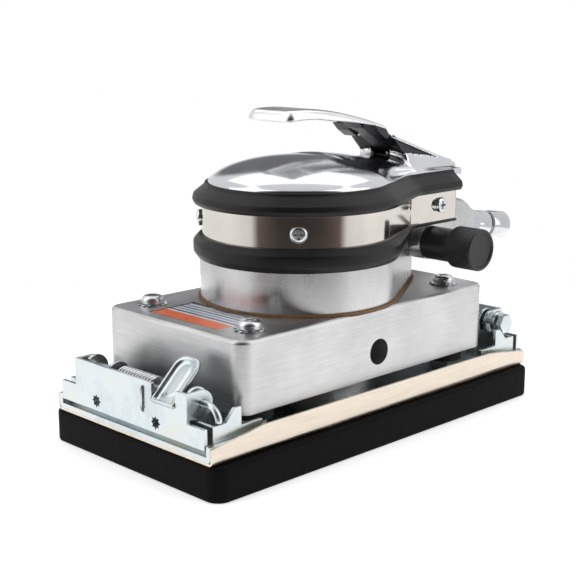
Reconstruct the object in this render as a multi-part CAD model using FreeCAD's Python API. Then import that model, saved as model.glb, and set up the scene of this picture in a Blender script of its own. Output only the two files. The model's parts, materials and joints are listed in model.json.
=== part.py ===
"""Compressed-air orbital sander for a third sheet of abrasive, as separate pieces.

+X points to the air inlet, +Z up. The origin is the centre of the rubber pad's working face.
"""
import FreeCAD, Part
import math
import os

V = FreeCAD.Vector
X_AXIS, Y_AXIS, Z_AXIS = V(1, 0, 0), V(0, 1, 0), V(0, 0, 1)

# Working pad: rubber face, flanged steel plate and zinc-plated carrier
PAD_L, PAD_W, PAD_T, PAD_CORNER_R = 189.0, 101.0, 13.2, 6.0
PLATE_L, PLATE_W, FLANGE_T, FLANGE_H = 187.3, 94.5, 1.2, 10.25
CARRIER_T, CARRIER_LIP_H = 2.0, 4.0
TAPER_START, TAPER_DROP = 68.0, 3.6
Z_PLATE = PAD_T
Z_CARRIER = Z_PLATE + FLANGE_T
Z_DECK = Z_CARRIER + CARRIER_T

# Orbit: the crank pin stands this far from the motor shaft
ORBIT_R = 1.2
SHAFT_X = -ORBIT_R

# Lower housing
HOUSING_L, HOUSING_W, HOUSING_R = 145.0, 81.5, 6.0
Z_HOUSING, Z_HOUSING_TOP, Z_CEILING = 25.6, 53.8, 47.0
CAVITY_R, SHAFT_HOLE_R = 33.0, 15.0
LEG_X, LEG_Y, LEG_R, LEG_POCKET_R = 57.5, 29.0, 8.0, 10.0
SIDE_PORT_R, SIDE_PORT_X, SIDE_PORT_Z = 5.4, 1.2, 36.0
LABEL_X0, LABEL_X1, LABEL_Y, LABEL_DEPTH = -67.5, -44.0, 20.5, 0.8

# Motor body: round front, tapered neck towards the inlet
HEAD_X = -4.0
BODY_R, BODY_REAR_X, BODY_REAR_R = 41.0, 46.0, 15.0
BAND_R, NECK_W, NECK_END, BLEND_R = 40.0, 23.0, 71.0, 15.0
NECK_ANGLE = math.radians(25.0)
NECK_CORNER_R, CAST_END = 9.0, 79.0
BAND_T = 1.0
Z_GASKET_TOP, Z_SHOULDER, Z_BAND, Z_BAND_TOP, Z_CAP = 54.8, 71.2, 80.6, 93.3, 99.0
BORE_R = 31.0
NECK_RING_Z = 79.2
FRONT_SCREW_Z, NECK_SCREW_X, NECK_SCREW_Z = 86.6, 59.5, 87.6

# Dome and valve hump
DOME_R, DOME_TOP = 38.6, 112.5
HUMP_W, HUMP_X0, HUMP_X1, HUMP_Z0, HUMP_Z1 = 26.0, 37.8, 84.0, 119.6, 103.6
HUMP_LEAN, HUMP_WALL = 18.1, 1.6
SLOT_W, SLOT_X1 = 10.6, 67.5
BLOCK_Z0, BLOCK_X1 = 102.6, 70.0

# Throttle lever, its pin and its valve
LEVER_W, LEVER_T, LEVER_EDGE, LEVER_TIP = 26.0, 1.6, 4.2, -22.0
PIN_X, PIN_Z, PIN_R = 62.0, 107.0, 1.5
STEM_X, STEM_R = 52.5, 2.0

# Air inlet, sloping down to the rear
INLET_X, INLET_Z, INLET_TILT = 100.0, 72.0, 7.5
INLET_BOSS_R = 12.0

# Speed regulator on the neck's side
REG_X, REG_Z, REG_END = 55.0, 71.5, -5.6
SLEEVE_R, SLEEVE_Y, KNOB_R, KNOB_Y0, KNOB_Y1 = 7.2, -37.0, 9.0, -37.4, -50.0

# Abrasive clamps, one at each end; measured on the front one
ROD_X, ROD_Z, ROD_R = -86.5, 32.4, 1.4
EAR_R = 5.6
JAW_FACE, JAW_T, JAW_BOTTOM, JAW_STEP, JAW_TOP = -94.0, 1.5, 18.6, 26.4, 37.4
JAW_WIDE, JAW_NARROW = 43.4, 34.0
WALL_FACE, WALL_T, WALL_TOP, WALL_W = -90.0, 1.5, 26.6, 43.6
THUMB_Y, THUMB_W, THUMB_L = -20.8, 13.0, 21.0
THUMB_LEAN, THUMB_FOOT = 46.0, 31.0
RIM_T, RIM_H = 1.2, 2.2


# ---------------------------------------------------------------- helpers

def box(x0, x1, y0, y1, z0, z1):
    return Part.makeBox(x1 - x0, y1 - y0, z1 - z0, V(x0, y0, z0))


def cyl(r, z0, z1, x=0.0, y=0.0):
    return Part.makeCylinder(r, z1 - z0, V(x, y, z0), Z_AXIS)


def cyl_y(r, y0, y1, x, z):
    return Part.makeCylinder(r, y1 - y0, V(x, y0, z), Y_AXIS)


def tube(r_out, r_in, z0, z1, x=0.0, y=0.0):
    return cyl(r_out, z0, z1, x, y).cut(cyl(r_in, z0 - 1, z1 + 1, x, y))


def fuse(shapes):
    whole = shapes[0]
    if len(shapes) > 1:
        whole = whole.multiFuse(shapes[1:])
    return whole.removeSplitter()


def group(shapes):
    return Part.makeCompound(shapes)


def moved(shape, x=0.0, y=0.0, z=0.0):
    copy = shape.copy()
    copy.translate(V(x, y, z))
    return copy


def turned(shape, axis, degrees, base=V(0, 0, 0)):
    copy = shape.copy()
    copy.rotate(base, axis, degrees)
    return copy


def rear(shape):
    """The same piece at the inlet end: half a turn about the vertical."""
    return turned(shape, Z_AXIS, 180)


def revolved(points):
    """A solid of revolution about Z from (radius, height) points."""
    wire = Part.makePolygon([V(r, 0, z) for r, z in points + points[:1]])
    return Part.Face(wire).revolve(V(0, 0, 0), Z_AXIS, 360)


def prism_xz(points, y0, y1):
    """Points in the XZ plane pushed out from y0 to y1."""
    wire = Part.makePolygon([V(x, y0, z) for x, z in points + points[:1]])
    return Part.Face(wire).extrude(V(0, y1 - y0, 0))


def prism_yz(points, x0, x1):
    wire = Part.makePolygon([V(x0, y, z) for y, z in points + points[:1]])
    return Part.Face(wire).extrude(V(x1 - x0, 0, 0))


def hexagon(corner_r, z0, z1):
    """Hexagonal bar along Z, its corners at that radius."""
    corners = [V(corner_r * math.cos(a), corner_r * math.sin(a), z0)
               for a in (i * math.pi / 3 for i in range(7))]
    return Part.Face(Part.makePolygon(corners)).extrude(V(0, 0, z1 - z0))


def rounded_box(x0, x1, y0, y1, z0, z1, r):
    solid = box(x0, x1, y0, y1, z0, z1)
    uprights = [e for e in solid.Edges if abs(e.tangentAt(e.FirstParameter).z) > 0.9]
    return solid.makeFillet(r, uprights)


def arc(centre, r, a0, a1, z):
    """An arc edge from angle a0 to a1, in radians, at height z."""
    def at(a):
        return V(centre[0] + r * math.cos(a), centre[1] + r * math.sin(a), z)
    return Part.Arc(at(a0), at((a0 + a1) / 2), at(a1)).toShape()


def closed_wire(edges):
    """Arcs in order, joined by straight edges where they don't meet."""
    whole = []
    for i, edge in enumerate(edges):
        after = edges[(i + 1) % len(edges)]
        whole.append(edge)
        start, end = edge.valueAt(edge.LastParameter), after.valueAt(after.FirstParameter)
        if start.distanceToPoint(end) > 1e-6:
            whole.append(Part.makeLine(start, end))
    return Part.Wire(whole)


def body_wire(grow, z):
    """Outline of the lower body: two circles and their common tangents."""
    lean = math.asin((BODY_R - BODY_REAR_R) / (BODY_REAR_X - HEAD_X))
    side = math.pi / 2 - lean
    front = arc((HEAD_X, 0), BODY_R + grow, side, 2 * math.pi - side, z)
    back = arc((BODY_REAR_X, 0), BODY_REAR_R + grow, -side, side, z)
    return closed_wire([front, back])


def neck_wire(grow, z, end=NECK_END):
    """Outline of the head: a circle whose tangents bend into a parallel neck."""
    a = NECK_ANGLE
    blend = BLEND_R - grow
    bx = HEAD_X + (BAND_R + BLEND_R - (NECK_W + BLEND_R) * math.cos(a)) / math.sin(a)
    by = NECK_W + BLEND_R
    side = math.pi / 2 - a
    corner = NECK_CORNER_R + grow
    cx = end + grow - corner
    cy = NECK_W + grow - corner
    edges = [
        arc((HEAD_X, 0), BAND_R + grow, side, 2 * math.pi - side, z),
        arc((bx, -by), blend, math.pi / 2 + a, math.pi / 2, z),
        arc((cx, -cy), corner, -math.pi / 2, 0, z),
        arc((cx, cy), corner, 0, math.pi / 2, z),
        arc((bx, by), blend, -math.pi / 2, -math.pi / 2 - a, z),
    ]
    return closed_wire(edges)


def upright(wire, height):
    return Part.Face(wire).extrude(V(0, 0, height))


def neck_loft(levels):
    """Skin between neck outlines given as (grow, height) levels."""
    slabs = []
    for low, high in zip(levels, levels[1:]):
        wires = [neck_wire(low[0], low[1], CAST_END), neck_wire(high[0], high[1], CAST_END)]
        slabs.append(Part.makeLoft(wires, True, True))
    return fuse(slabs)


def pan_screw(head_r, head_h, shank_r, shank_l):
    """Pan-head screw along +Z, its head's seat at the origin, with a cross recess."""
    head = cyl(head_r, 0, head_h)
    head = head.makeFillet(head_h * 0.6, [e for e in head.Edges if e.BoundBox.ZMin > head_h - 0.01])
    cross = [box(-head_r * 0.55, head_r * 0.55, -0.45, 0.45, head_h * 0.45, head_h + 1),
             box(-0.45, 0.45, -head_r * 0.55, head_r * 0.55, head_h * 0.45, head_h + 1)]
    return fuse([head, cyl(shank_r, -shank_l, 0)]).cut(cross)


def pointed(shape, x, y, z, azimuth, tilt=90.0):
    """A +Z piece laid over by tilt towards azimuth, in degrees, then placed."""
    laid = turned(turned(shape, Y_AXIS, tilt), Z_AXIS, azimuth)
    return moved(laid, x, y, z)


# ---------------------------------------------------------------- working pad

def rubber_pad():
    half_l, half_w = PAD_L / 2, PAD_W / 2
    solid = rounded_box(-half_l, half_l, -half_w, half_w, 0, PAD_T, PAD_CORNER_R)
    bottom = [e for e in solid.Edges if e.BoundBox.ZMax < 0.01]
    return solid.makeFillet(0.8, bottom)


def flange_plate():
    """Pan with upstanding sides whose top edges fall away at both ends."""
    half_l, half_w = PLATE_L / 2, PLATE_W / 2
    top = Z_PLATE + FLANGE_H
    low = top - TAPER_DROP
    side = [(-half_l, Z_PLATE), (half_l, Z_PLATE), (half_l, low), (TAPER_START, top),
            (-TAPER_START, top), (-half_l, low)]
    block = prism_xz(side, -half_w, half_w)
    edges = [e for e in block.Edges
             if e.BoundBox.ZMax < Z_PLATE + 0.01 and e.BoundBox.XLength > PLATE_L - 1]
    block = block.makeFillet(2.5, edges)
    inside = box(-half_l - 1, half_l + 1, -half_w + FLANGE_T, half_w - FLANGE_T, Z_CARRIER, top + 1)
    return block.cut(inside)


def carrier_plate():
    half_l, half_w = PLATE_L / 2, PLATE_W / 2 - FLANGE_T - 0.1
    block = box(-half_l, half_l, -half_w, half_w, Z_CARRIER, Z_DECK + CARRIER_LIP_H)
    edges = [e for e in block.Edges
             if e.BoundBox.ZMax < Z_CARRIER + 0.01 and e.BoundBox.XLength > PLATE_L - 1]
    block = block.makeFillet(1.5, edges)
    inside = box(-half_l - 1, half_l + 1, -half_w + CARRIER_T, half_w - CARRIER_T, Z_DECK, Z_DECK + 9)
    return block.cut([inside, hub_screws()])


HUB_R, HUB_TOP, HUB_FLANGE_R, PIN_BEARING_R, CRANK_PIN_R = 17.0, 27.0, 29.0, 13.0, 6.0
HUB_SCREW_PCD_R = 23.0


def bearing_hub():
    """Turned hub on the carrier that holds the crank-pin bearing."""
    flange = cyl(HUB_FLANGE_R, Z_DECK, Z_DECK + 4)
    hub = cyl(HUB_R, Z_DECK + 4, HUB_TOP)
    return fuse([flange, hub]).cut([cyl(PIN_BEARING_R, Z_DECK + 1.5, HUB_TOP + 1), hub_screws()])


def ball_bearing(r_out, r_in, z0, z1, x=0.0):
    """Shielded ball bearing as one ring with grooves where the shields sit."""
    ring = tube(r_out, r_in, z0, z1, x)
    mid_out = r_in + (r_out - r_in) * 0.75
    mid_in = r_in + (r_out - r_in) * 0.28
    for low, high in ((z0 - 1, z0 + 0.4), (z1 - 0.4, z1 + 1)):
        ring = ring.cut(tube(mid_out, mid_in, low, high, x))
    return ring


def hub_screws():
    screw = pan_screw(3.4, 2.4, 1.9, 5.2)
    places = [(HUB_SCREW_PCD_R * math.cos(a), HUB_SCREW_PCD_R * math.sin(a))
              for a in (math.pi / 4 + i * math.pi / 2 for i in range(4))]
    return group([moved(screw, x, y, Z_DECK + 4) for x, y in places])


def leg_places():
    return [(sx * LEG_X, sy * LEG_Y) for sx in (-1, 1) for sy in (-1, 1)]


NUT_H, LEG_FOOT, LEG_TOP = 3.0, 20.4, 45.6


def support_legs():
    """Waisted rubber columns; their tops stop short of the pockets' ceilings."""
    profile = [(0, LEG_FOOT), (LEG_R, LEG_FOOT), (LEG_R, LEG_FOOT + 4), (LEG_R - 1.6, LEG_FOOT + 7),
               (LEG_R - 1.6, LEG_TOP - 7), (LEG_R, LEG_TOP - 4), (LEG_R, LEG_TOP), (0, LEG_TOP)]
    leg = revolved(profile)
    return group([moved(leg, x, y) for x, y in leg_places()])


def leg_nuts():
    """Hexagon nut and washer that hold each leg's foot on the carrier."""
    washer = cyl(6.4, Z_DECK, Z_DECK + 1)
    nut = fuse([washer, hexagon(5.6, Z_DECK + 1, Z_DECK + 1 + NUT_H)])
    return group([moved(nut, x, y) for x, y in leg_places()])


# ---------------------------------------------------------------- abrasive clamps

def clamp_bracket():
    """Folded zinc-plated frame: foot, front wall, cheeks and three round-topped ears."""
    wall_back = WALL_FACE + WALL_T
    foot = box(WALL_FACE, -66.0, -WALL_W, WALL_W, Z_DECK, Z_DECK + WALL_T)
    foot = foot.cut(box(-84.0, -60.0, -WALL_W + WALL_T, WALL_W - WALL_T, Z_DECK - 1, Z_DECK + 5))
    wall = box(WALL_FACE, wall_back, -WALL_W, WALL_W, Z_DECK, WALL_TOP)
    side = [(WALL_FACE, Z_DECK), (-66.0, Z_DECK), (-66.0, Z_DECK + 8.0), (-76.4, Z_DECK + 8.0),
            (-76.4, 31.5), (-79.5, 31.5), (-84.0, WALL_TOP), (WALL_FACE, WALL_TOP)]
    cheeks = [prism_xz(side, -WALL_W, -WALL_W + WALL_T), prism_xz(side, WALL_W - WALL_T, WALL_W)]
    ears = [bracket_ear(y) for y in (-31.2, 15.6, 29.7)]
    return fuse([foot, wall] + cheeks + ears).cut(cyl_y(ROD_R + 0.05, -60, 60, ROD_X, ROD_Z))


def bracket_ear(y):
    post = [(WALL_FACE, Z_DECK), (-80.0, Z_DECK), (-80.9, ROD_Z), (WALL_FACE, ROD_Z - 2.5)]
    top = cyl_y(EAR_R, y, y + WALL_T, ROD_X, ROD_Z)
    top = top.common(box(WALL_FACE, -70, y, y + WALL_T, 0, 60))
    return fuse([prism_xz(post, y, y + WALL_T), top])


ROD_Y0, ROD_Y1, ROD_BEND_R = -37.6, 38.6, 5.0


def clamp_rod(headed):
    """Pivot rod, one end bent over and down; a hexagon head or a riveted end at the other."""
    straight = cyl_y(ROD_R, ROD_Y0, ROD_Y1, ROD_X, ROD_Z)
    washer = cyl_y(2.6, ROD_Y1 - 2.0, ROD_Y1, ROD_X, ROD_Z)
    head = cyl_y(2.0, ROD_Y1, ROD_Y1 + 0.6, ROD_X, ROD_Z)
    if headed:
        washer = cyl_y(5.2, ROD_Y1 - 2.0, ROD_Y1, ROD_X, ROD_Z)
        head = moved(turned(hexagon(4.6, 0, 3.4), X_AXIS, -90), ROD_X, ROD_Y1, ROD_Z)
    bend_z = ROD_Z - ROD_BEND_R
    turn = Part.makeTorus(ROD_BEND_R, ROD_R, V(ROD_X, ROD_Y0, bend_z), X_AXIS)
    quarter = box(ROD_X - 9, ROD_X + 9, ROD_Y0 - 12, ROD_Y0, bend_z, ROD_Z + 9)
    return fuse([straight, washer, head, turn.common(quarter)])


def clamp_sleeve():
    """Spacer tube on the rod between the two far ears."""
    return cyl_y(2.6, 17.2, 29.6, ROD_X, ROD_Z).cut(cyl_y(ROD_R, 10, 40, ROD_X, ROD_Z))


SPRING_R, SPRING_WIRE_R, SPRING_Y0, SPRING_Y1, SPRING_TURNS = 4.1, 0.55, -8.0, 13.0, 10


def clamp_spring():
    """Torsion spring on the rod; its leg hooks through the jaw's slot."""
    pitch = (SPRING_Y1 - SPRING_Y0) / SPRING_TURNS
    helix = Part.makeHelix(pitch, SPRING_Y1 - SPRING_Y0, SPRING_R)
    start = V(SPRING_R, 0, 0)
    section = Part.Wire(Part.makeCircle(SPRING_WIRE_R, start, Y_AXIS))
    coil = Part.Wire(helix.Edges).makePipeShell([section], True, False)
    coil.rotate(V(0, 0, 0), X_AXIS, -90)
    coil.translate(V(ROD_X, SPRING_Y0, ROD_Z))
    return coil


def star_hole(x, y, z):
    """Punched eight-point gripping hole through the jaw."""
    points = []
    for i in range(16):
        r = 2.6 if i % 2 == 0 else 1.7
        a = i * math.pi / 8
        points.append((y + r * math.cos(a), z + r * math.sin(a)))
    return prism_yz(points, x - 5, x + 5)


def clamp_jaw():
    """Gripping plate that swings on the rod, with folded ears and a turned-in lower lip."""
    back = JAW_FACE + JAW_T
    outline = [(-JAW_WIDE, JAW_BOTTOM), (JAW_WIDE, JAW_BOTTOM), (JAW_WIDE, JAW_STEP),
               (JAW_NARROW, JAW_STEP), (JAW_NARROW, JAW_TOP), (-JAW_NARROW, JAW_TOP),
               (-JAW_NARROW, JAW_STEP), (-JAW_WIDE, JAW_STEP)]
    plate = prism_yz(outline, JAW_FACE, back)
    lip = box(back, WALL_FACE - 0.4, -JAW_WIDE + 1, JAW_WIDE - 1, JAW_BOTTOM, JAW_BOTTOM + 1.2)
    ears = [jaw_ear(-JAW_NARROW), jaw_ear(JAW_NARROW - JAW_T)]
    slot = box(JAW_FACE - 1, back + 1, -9.6, -7.8, 25.2, 35.2)
    half = THUMB_W / 2 + 0.3
    notch = box(JAW_FACE - 1, back + 1, THUMB_Y - half, THUMB_Y + half, THUMB_FOOT, JAW_TOP + 1)
    cuts = [slot, notch, star_hole(JAW_FACE, 20.5, 22.6), star_hole(JAW_FACE, -16.0, 22.6)]
    return fuse([plate, lip] + ears).cut(cuts)


def jaw_ear(y):
    """Side fold that carries the rod's hole."""
    post = [(JAW_FACE, 27.6), (ROD_X, ROD_Z - EAR_R), (ROD_X, ROD_Z + EAR_R - 0.6), (JAW_FACE, JAW_TOP)]
    ear = fuse([prism_xz(post, y, y + JAW_T), cyl_y(EAR_R - 0.6, y, y + JAW_T, ROD_X, ROD_Z)])
    return ear.cut(cyl_y(ROD_R + 0.06, y - 1, y + 3, ROD_X, ROD_Z))


def thumb_lever():
    """Channel-shaped tongue that passes through the jaw's notch and leans back over the rod."""
    half = THUMB_W / 2
    rim_l = THUMB_L - half + 1
    rim = box(-RIM_H, 0, -half, -half + RIM_T, 1.5, rim_l)
    rims = [rim, moved(rim, y=THUMB_W - RIM_T)]
    tongue = fuse([rounded_tongue(half, THUMB_L, RIM_T)] + rims)
    tongue = moved(turned(tongue, Y_AXIS, THUMB_LEAN), JAW_FACE - RIM_T, THUMB_Y, THUMB_FOOT - 0.8)
    foot = box(JAW_FACE - RIM_T, JAW_FACE, THUMB_Y - half, THUMB_Y + half, THUMB_FOOT - 3.0, THUMB_FOOT)
    jaw_plate = box(JAW_FACE, JAW_FACE + JAW_T, -40, 40, JAW_BOTTOM, THUMB_FOOT)
    return fuse([tongue, foot]).cut(jaw_plate)


def rounded_tongue(half, length, thick):
    flat = box(0, thick, -half, half, 0, length - half)
    tip = Part.makeCylinder(half, thick, V(0, 0, length - half), X_AXIS)
    return fuse([flat, tip])


# ---------------------------------------------------------------- lower housing

def pocket_places():
    return [(SHAFT_X + sx * LEG_X, sy * LEG_Y) for sx in (-1, 1) for sy in (-1, 1)]


def lower_housing():
    """Cast box, open below, with a round crank chamber and four leg pockets."""
    x0 = SHAFT_X - HOUSING_L / 2
    x1 = SHAFT_X + HOUSING_L / 2
    half_w = HOUSING_W / 2
    shell = rounded_box(x0, x1, -half_w, half_w, Z_HOUSING, Z_HOUSING_TOP, HOUSING_R)
    rim = [e for e in shell.Edges if e.BoundBox.ZMin > Z_HOUSING_TOP - 0.01]
    shell = shell.makeFillet(1.6, rim)
    cuts = [cyl(CAVITY_R, Z_HOUSING - 1, Z_CEILING, SHAFT_X), cyl(SHAFT_HOLE_R, 40, 60, SHAFT_X)]
    for x, y in pocket_places():
        cuts.append(cyl(LEG_POCKET_R, Z_HOUSING - 1, Z_CEILING, x, y))
        cuts.append(cyl(2.55, 40, 60, x, y))
    cuts.append(cyl_y(SIDE_PORT_R, -half_w - 1, -CAVITY_R + 3, SIDE_PORT_X, SIDE_PORT_Z))
    cuts.append(box(LABEL_X0, LABEL_X1, -LABEL_Y, LABEL_Y, Z_HOUSING_TOP - LABEL_DEPTH, 60))
    return shell.cut(cuts)


def label_plate():
    z0 = Z_HOUSING_TOP - LABEL_DEPTH
    plate = rounded_box(LABEL_X0 + 0.4, LABEL_X1 - 0.4, -LABEL_Y + 0.4, LABEL_Y - 0.4, z0, z0 + 0.5, 1.0)
    return plate.cut(upright(body_wire(1.5, Z_HOUSING_TOP - 5), 20))


WASHER_T, SCREW_HEAD_R, SCREW_HEAD_H = 0.9, 4.5, 3.0


def housing_screws():
    """Screws through the housing's roof that hold the tops of the rubber legs."""
    screw = pan_screw(SCREW_HEAD_R, SCREW_HEAD_H, 2.5, 7.4)
    return group([moved(screw, x, y, Z_HOUSING_TOP + WASHER_T) for x, y in pocket_places()])


def toothed_washers():
    teeth = 10
    points = []
    for i in range(4 * teeth):
        r = 6.0 if i % 4 in (1, 2) else 4.9
        a = i * 2 * math.pi / (4 * teeth)
        points.append(V(r * math.cos(a), r * math.sin(a), 0))
    star = Part.Face(Part.makePolygon(points + points[:1])).extrude(V(0, 0, WASHER_T))
    star = star.cut(cyl(2.55, -1, 2))
    return group([moved(star, x, y, Z_HOUSING_TOP) for x, y in pocket_places()])


# ---------------------------------------------------------------- motor body

def housing_gasket():
    ring = upright(body_wire(1.0, Z_HOUSING_TOP), Z_GASKET_TOP - Z_HOUSING_TOP)
    return ring.cut(cyl(BORE_R, 40, 60, SHAFT_X))


def inlet_axis(shape):
    """Lay a +Z piece along the inlet: +X and slightly down."""
    laid = turned(shape, Y_AXIS, 90 + INLET_TILT)
    return moved(laid, INLET_X, 0, INLET_Z)


AIRWAY_R, INLET_BORE_R, INLET_BORE_L = 4.0, 6.6, 13.0


def motor_body():
    """Cast body: stepped outside, bored for the motor, with the neck and inlet boss."""
    low = upright(body_wire(0, Z_GASKET_TOP), Z_SHOULDER - Z_GASKET_TOP)
    high = upright(neck_wire(-BAND_T, Z_SHOULDER, CAST_END), Z_CAP - Z_SHOULDER)
    boss = inlet_axis(Part.makeCone(13.5, INLET_BOSS_R, 34, V(0, 0, -34), Z_AXIS))
    boss = boss.common(box(55, 120, -30, 30, 50, Z_CAP))
    reg_boss = cyl_y(SLEEVE_R + 0.4, -NECK_W + 0.6, 0, REG_X, REG_Z)
    whole = fuse([low, high, boss, reg_boss])
    cuts = [cyl(BORE_R, 50, 97.0, SHAFT_X),
            inlet_axis(cyl(AIRWAY_R, -52, 1)),
            inlet_axis(cyl(INLET_BORE_R, -INLET_BORE_L, 1)),
            cyl(5.0, 68, 110, STEM_X),
            cyl_y(3.05, -NECK_W - 5, REG_END + 0.2, REG_X, REG_Z),
            cyl_y(MUFFLER_R, MUFFLER_Y0, MUFFLER_Y1, REG_X, MUFFLER_Z),
            band_screws()]
    return whole.cut(cuts)


LINER_R, LINER_BORE_R, LINER_SHIFT, ROTOR_R = 30.95, 26.6, 1.4, 24.8
LINER_Z0, LINER_Z1, END_PLATE_T = 60.8, 89.2, 6.0


def cylinder_liner():
    """Hardened liner whose bore stands off the shaft axis."""
    outer = cyl(LINER_R, LINER_Z0, LINER_Z1, SHAFT_X)
    return outer.cut(cyl(LINER_BORE_R, LINER_Z0 - 1, LINER_Z1 + 1, SHAFT_X + LINER_SHIFT))


BEARING_R, BEARING_BORE_R, BEARING_T, SHAFT_R = 11.0, 6.05, 5.0, 6.0


def lower_end_plate():
    plate = cyl(LINER_R, LINER_Z0 - END_PLATE_T, LINER_Z0, SHAFT_X)
    plate = plate.cut(cyl(BEARING_R, LINER_Z0 - END_PLATE_T - 1, LINER_Z0 - 1, SHAFT_X))
    return plate.cut(cyl(SHAFT_R + 0.6, 40, 70, SHAFT_X))


def upper_end_plate():
    plate = cyl(LINER_R, LINER_Z1, LINER_Z1 + END_PLATE_T, SHAFT_X)
    plate = plate.cut(cyl(BEARING_R, LINER_Z1 + 1, LINER_Z1 + END_PLATE_T + 1, SHAFT_X))
    return plate.cut(cyl(SHAFT_R + 0.6, 80, 99, SHAFT_X))


def lower_bearing():
    z1 = LINER_Z0 - 1
    return ball_bearing(BEARING_R, BEARING_BORE_R, z1 - BEARING_T, z1, SHAFT_X)


def upper_bearing():
    z0 = LINER_Z1 + 1
    return ball_bearing(BEARING_R, BEARING_BORE_R, z0, z0 + BEARING_T, SHAFT_X)


def steel_band():
    """Bright band around the head, open at the rear."""
    outer = upright(neck_wire(0, Z_BAND, CAST_END), Z_BAND_TOP - Z_BAND)
    inner = upright(neck_wire(-BAND_T, Z_BAND - 1, CAST_END), Z_BAND_TOP - Z_BAND + 2)
    return outer.cut([inner, box(NECK_END, 120, -40, 40, 50, 120), band_screws()])


def grip_ring(levels, inner_wire, z0, z1):
    ring = neck_loft(levels)
    return ring.cut([upright(inner_wire, z1 - z0), box(NECK_END, 120, -60, 60, 50, 120)])


def lower_grip_ring():
    """Rubber bumper below the band; it thins to a strip along the neck."""
    levels = [(1.0, Z_SHOULDER), (2.8, 73.2), (3.8, 76.0), (3.4, 78.6), (1.2, Z_BAND)]
    ring = grip_ring(levels, neck_wire(-BAND_T, 60, CAST_END), 60, 100)
    wedge = [(20.0, 60.0), (20.0, Z_SHOULDER), (44.0, NECK_RING_Z), (90.0, NECK_RING_Z), (90.0, 60.0)]
    return ring.cut(prism_xz(wedge, -60, 60))


def upper_grip_ring():
    """Rubber bumper above the band, with a lip and a sloping shoulder."""
    levels = [(1.6, Z_BAND_TOP), (3.8, 94.6), (3.9, 96.8), (2.4, 97.6), (-0.6, 100.6), (-1.4, 102.0)]
    return grip_ring(levels, neck_wire(-2.6, 80, CAST_END), 80, 130).cut(
        upright(neck_wire(-BAND_T, 80, CAST_END), Z_CAP - 80))


def head_cap():
    """Polished dome with the hollow hump that houses the throttle valve."""
    deck = upright(neck_wire(-2.6, Z_CAP, CAST_END - 1), 3.0)
    saddle = prism_xz([(20, Z_CAP), (CAST_END - 1, Z_CAP), (CAST_END - 1, 102.4), (48, 108.2), (20, 110.0)],
                      -19, 19)
    saddle = saddle.common(upright(neck_wire(-4.0, Z_CAP, CAST_END - 1), 30))
    whole = fuse([dome(), deck, saddle, hump_block()])
    slot = hump_slot(BLOCK_Z0).common(hump_block())
    pin_hole = cyl_y(PIN_R, -20, 20, PIN_X, PIN_Z)
    bore = fuse([cyl(4.2, 90, BLOCK_Z0, STEM_X), cyl(STEM_R + 0.05, 100, 110, STEM_X)])
    return whole.cut([hump_chamber(), slot, pin_hole, bore])


def dome():
    """Half ellipsoid on the head's round front, in short cones, cut off where the bumper starts."""
    rise, rim = DOME_TOP - Z_CAP, BAND_R - 2.6
    start = math.degrees(math.acos(rim / DOME_R))
    angles = [math.radians(t) for t in (start, 23, 33, 44, 56, 68, 80)]
    curve = [(DOME_R * math.cos(a), Z_CAP + rise * math.sin(a)) for a in angles]
    return moved(revolved([(0, Z_CAP), (rim, Z_CAP)] + curve + [(0, DOME_TOP)]), x=HEAD_X)


def hump_block(shrink=0.0):
    """Wedge over the neck: leaning front face and a top that falls to the rear."""
    half = HUMP_W / 2
    foot_x = HUMP_X0 + HUMP_LEAN + 1.0
    side = [(foot_x, 100.5), (HUMP_X0, HUMP_Z0 - shrink), (HUMP_X1, HUMP_Z1 - shrink),
            (HUMP_X1, Z_CAP + 0.4), (foot_x, Z_CAP)]
    return prism_xz(side, -half, half)


def hump_slope():
    return math.atan2(HUMP_Z0 - HUMP_Z1, HUMP_X1 - HUMP_X0)


def hump_chamber():
    """Space between the hump's walls, open in front."""
    half = HUMP_W / 2 - HUMP_WALL
    space = box(HUMP_X0 - 2, BLOCK_X1, -half, half, BLOCK_Z0, HUMP_Z0)
    return space.common(hump_block(HUMP_WALL / math.cos(hump_slope())))


def hump_slot(floor_z):
    """Way for the lever's arms, open at the front and the top."""
    return box(HUMP_X0 - 2, SLOT_X1, -SLOT_W / 2, SLOT_W / 2, floor_z, HUMP_Z0 + 5)


def valve_block():
    """Black block inside the hump that guides the valve stem and carries the lever's pin."""
    front = moved(hump_block(), x=0.5)
    holes = [cyl_y(PIN_R, -20, 20, PIN_X, PIN_Z), cyl(STEM_R + 0.05, 100, 110, STEM_X)]
    return hump_chamber().common(front).cut([hump_slot(BLOCK_Z0 + 1.8)] + holes)


# ---------------------------------------------------------------- throttle

def lever_profile(drop=0.0):
    """Side view of the palm plate's top, front to rear, lowered by drop."""
    top = [(LEVER_TIP, 131.4), (-12.0, 132.0), (-3.0, 131.6), (9.5, 129.6), (22.0, 126.9), (33.0, 124.2),
           (36.6, 122.8)]
    return [(x, z - drop) for x, z in top]


def lever_rim(x):
    """Depth of the turned-down edge, which runs out towards the hump."""
    run = min(max((x + 3.0) / 27.0, 0.0), 1.0)
    return LEVER_EDGE + (LEVER_T - LEVER_EDGE) * run


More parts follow.
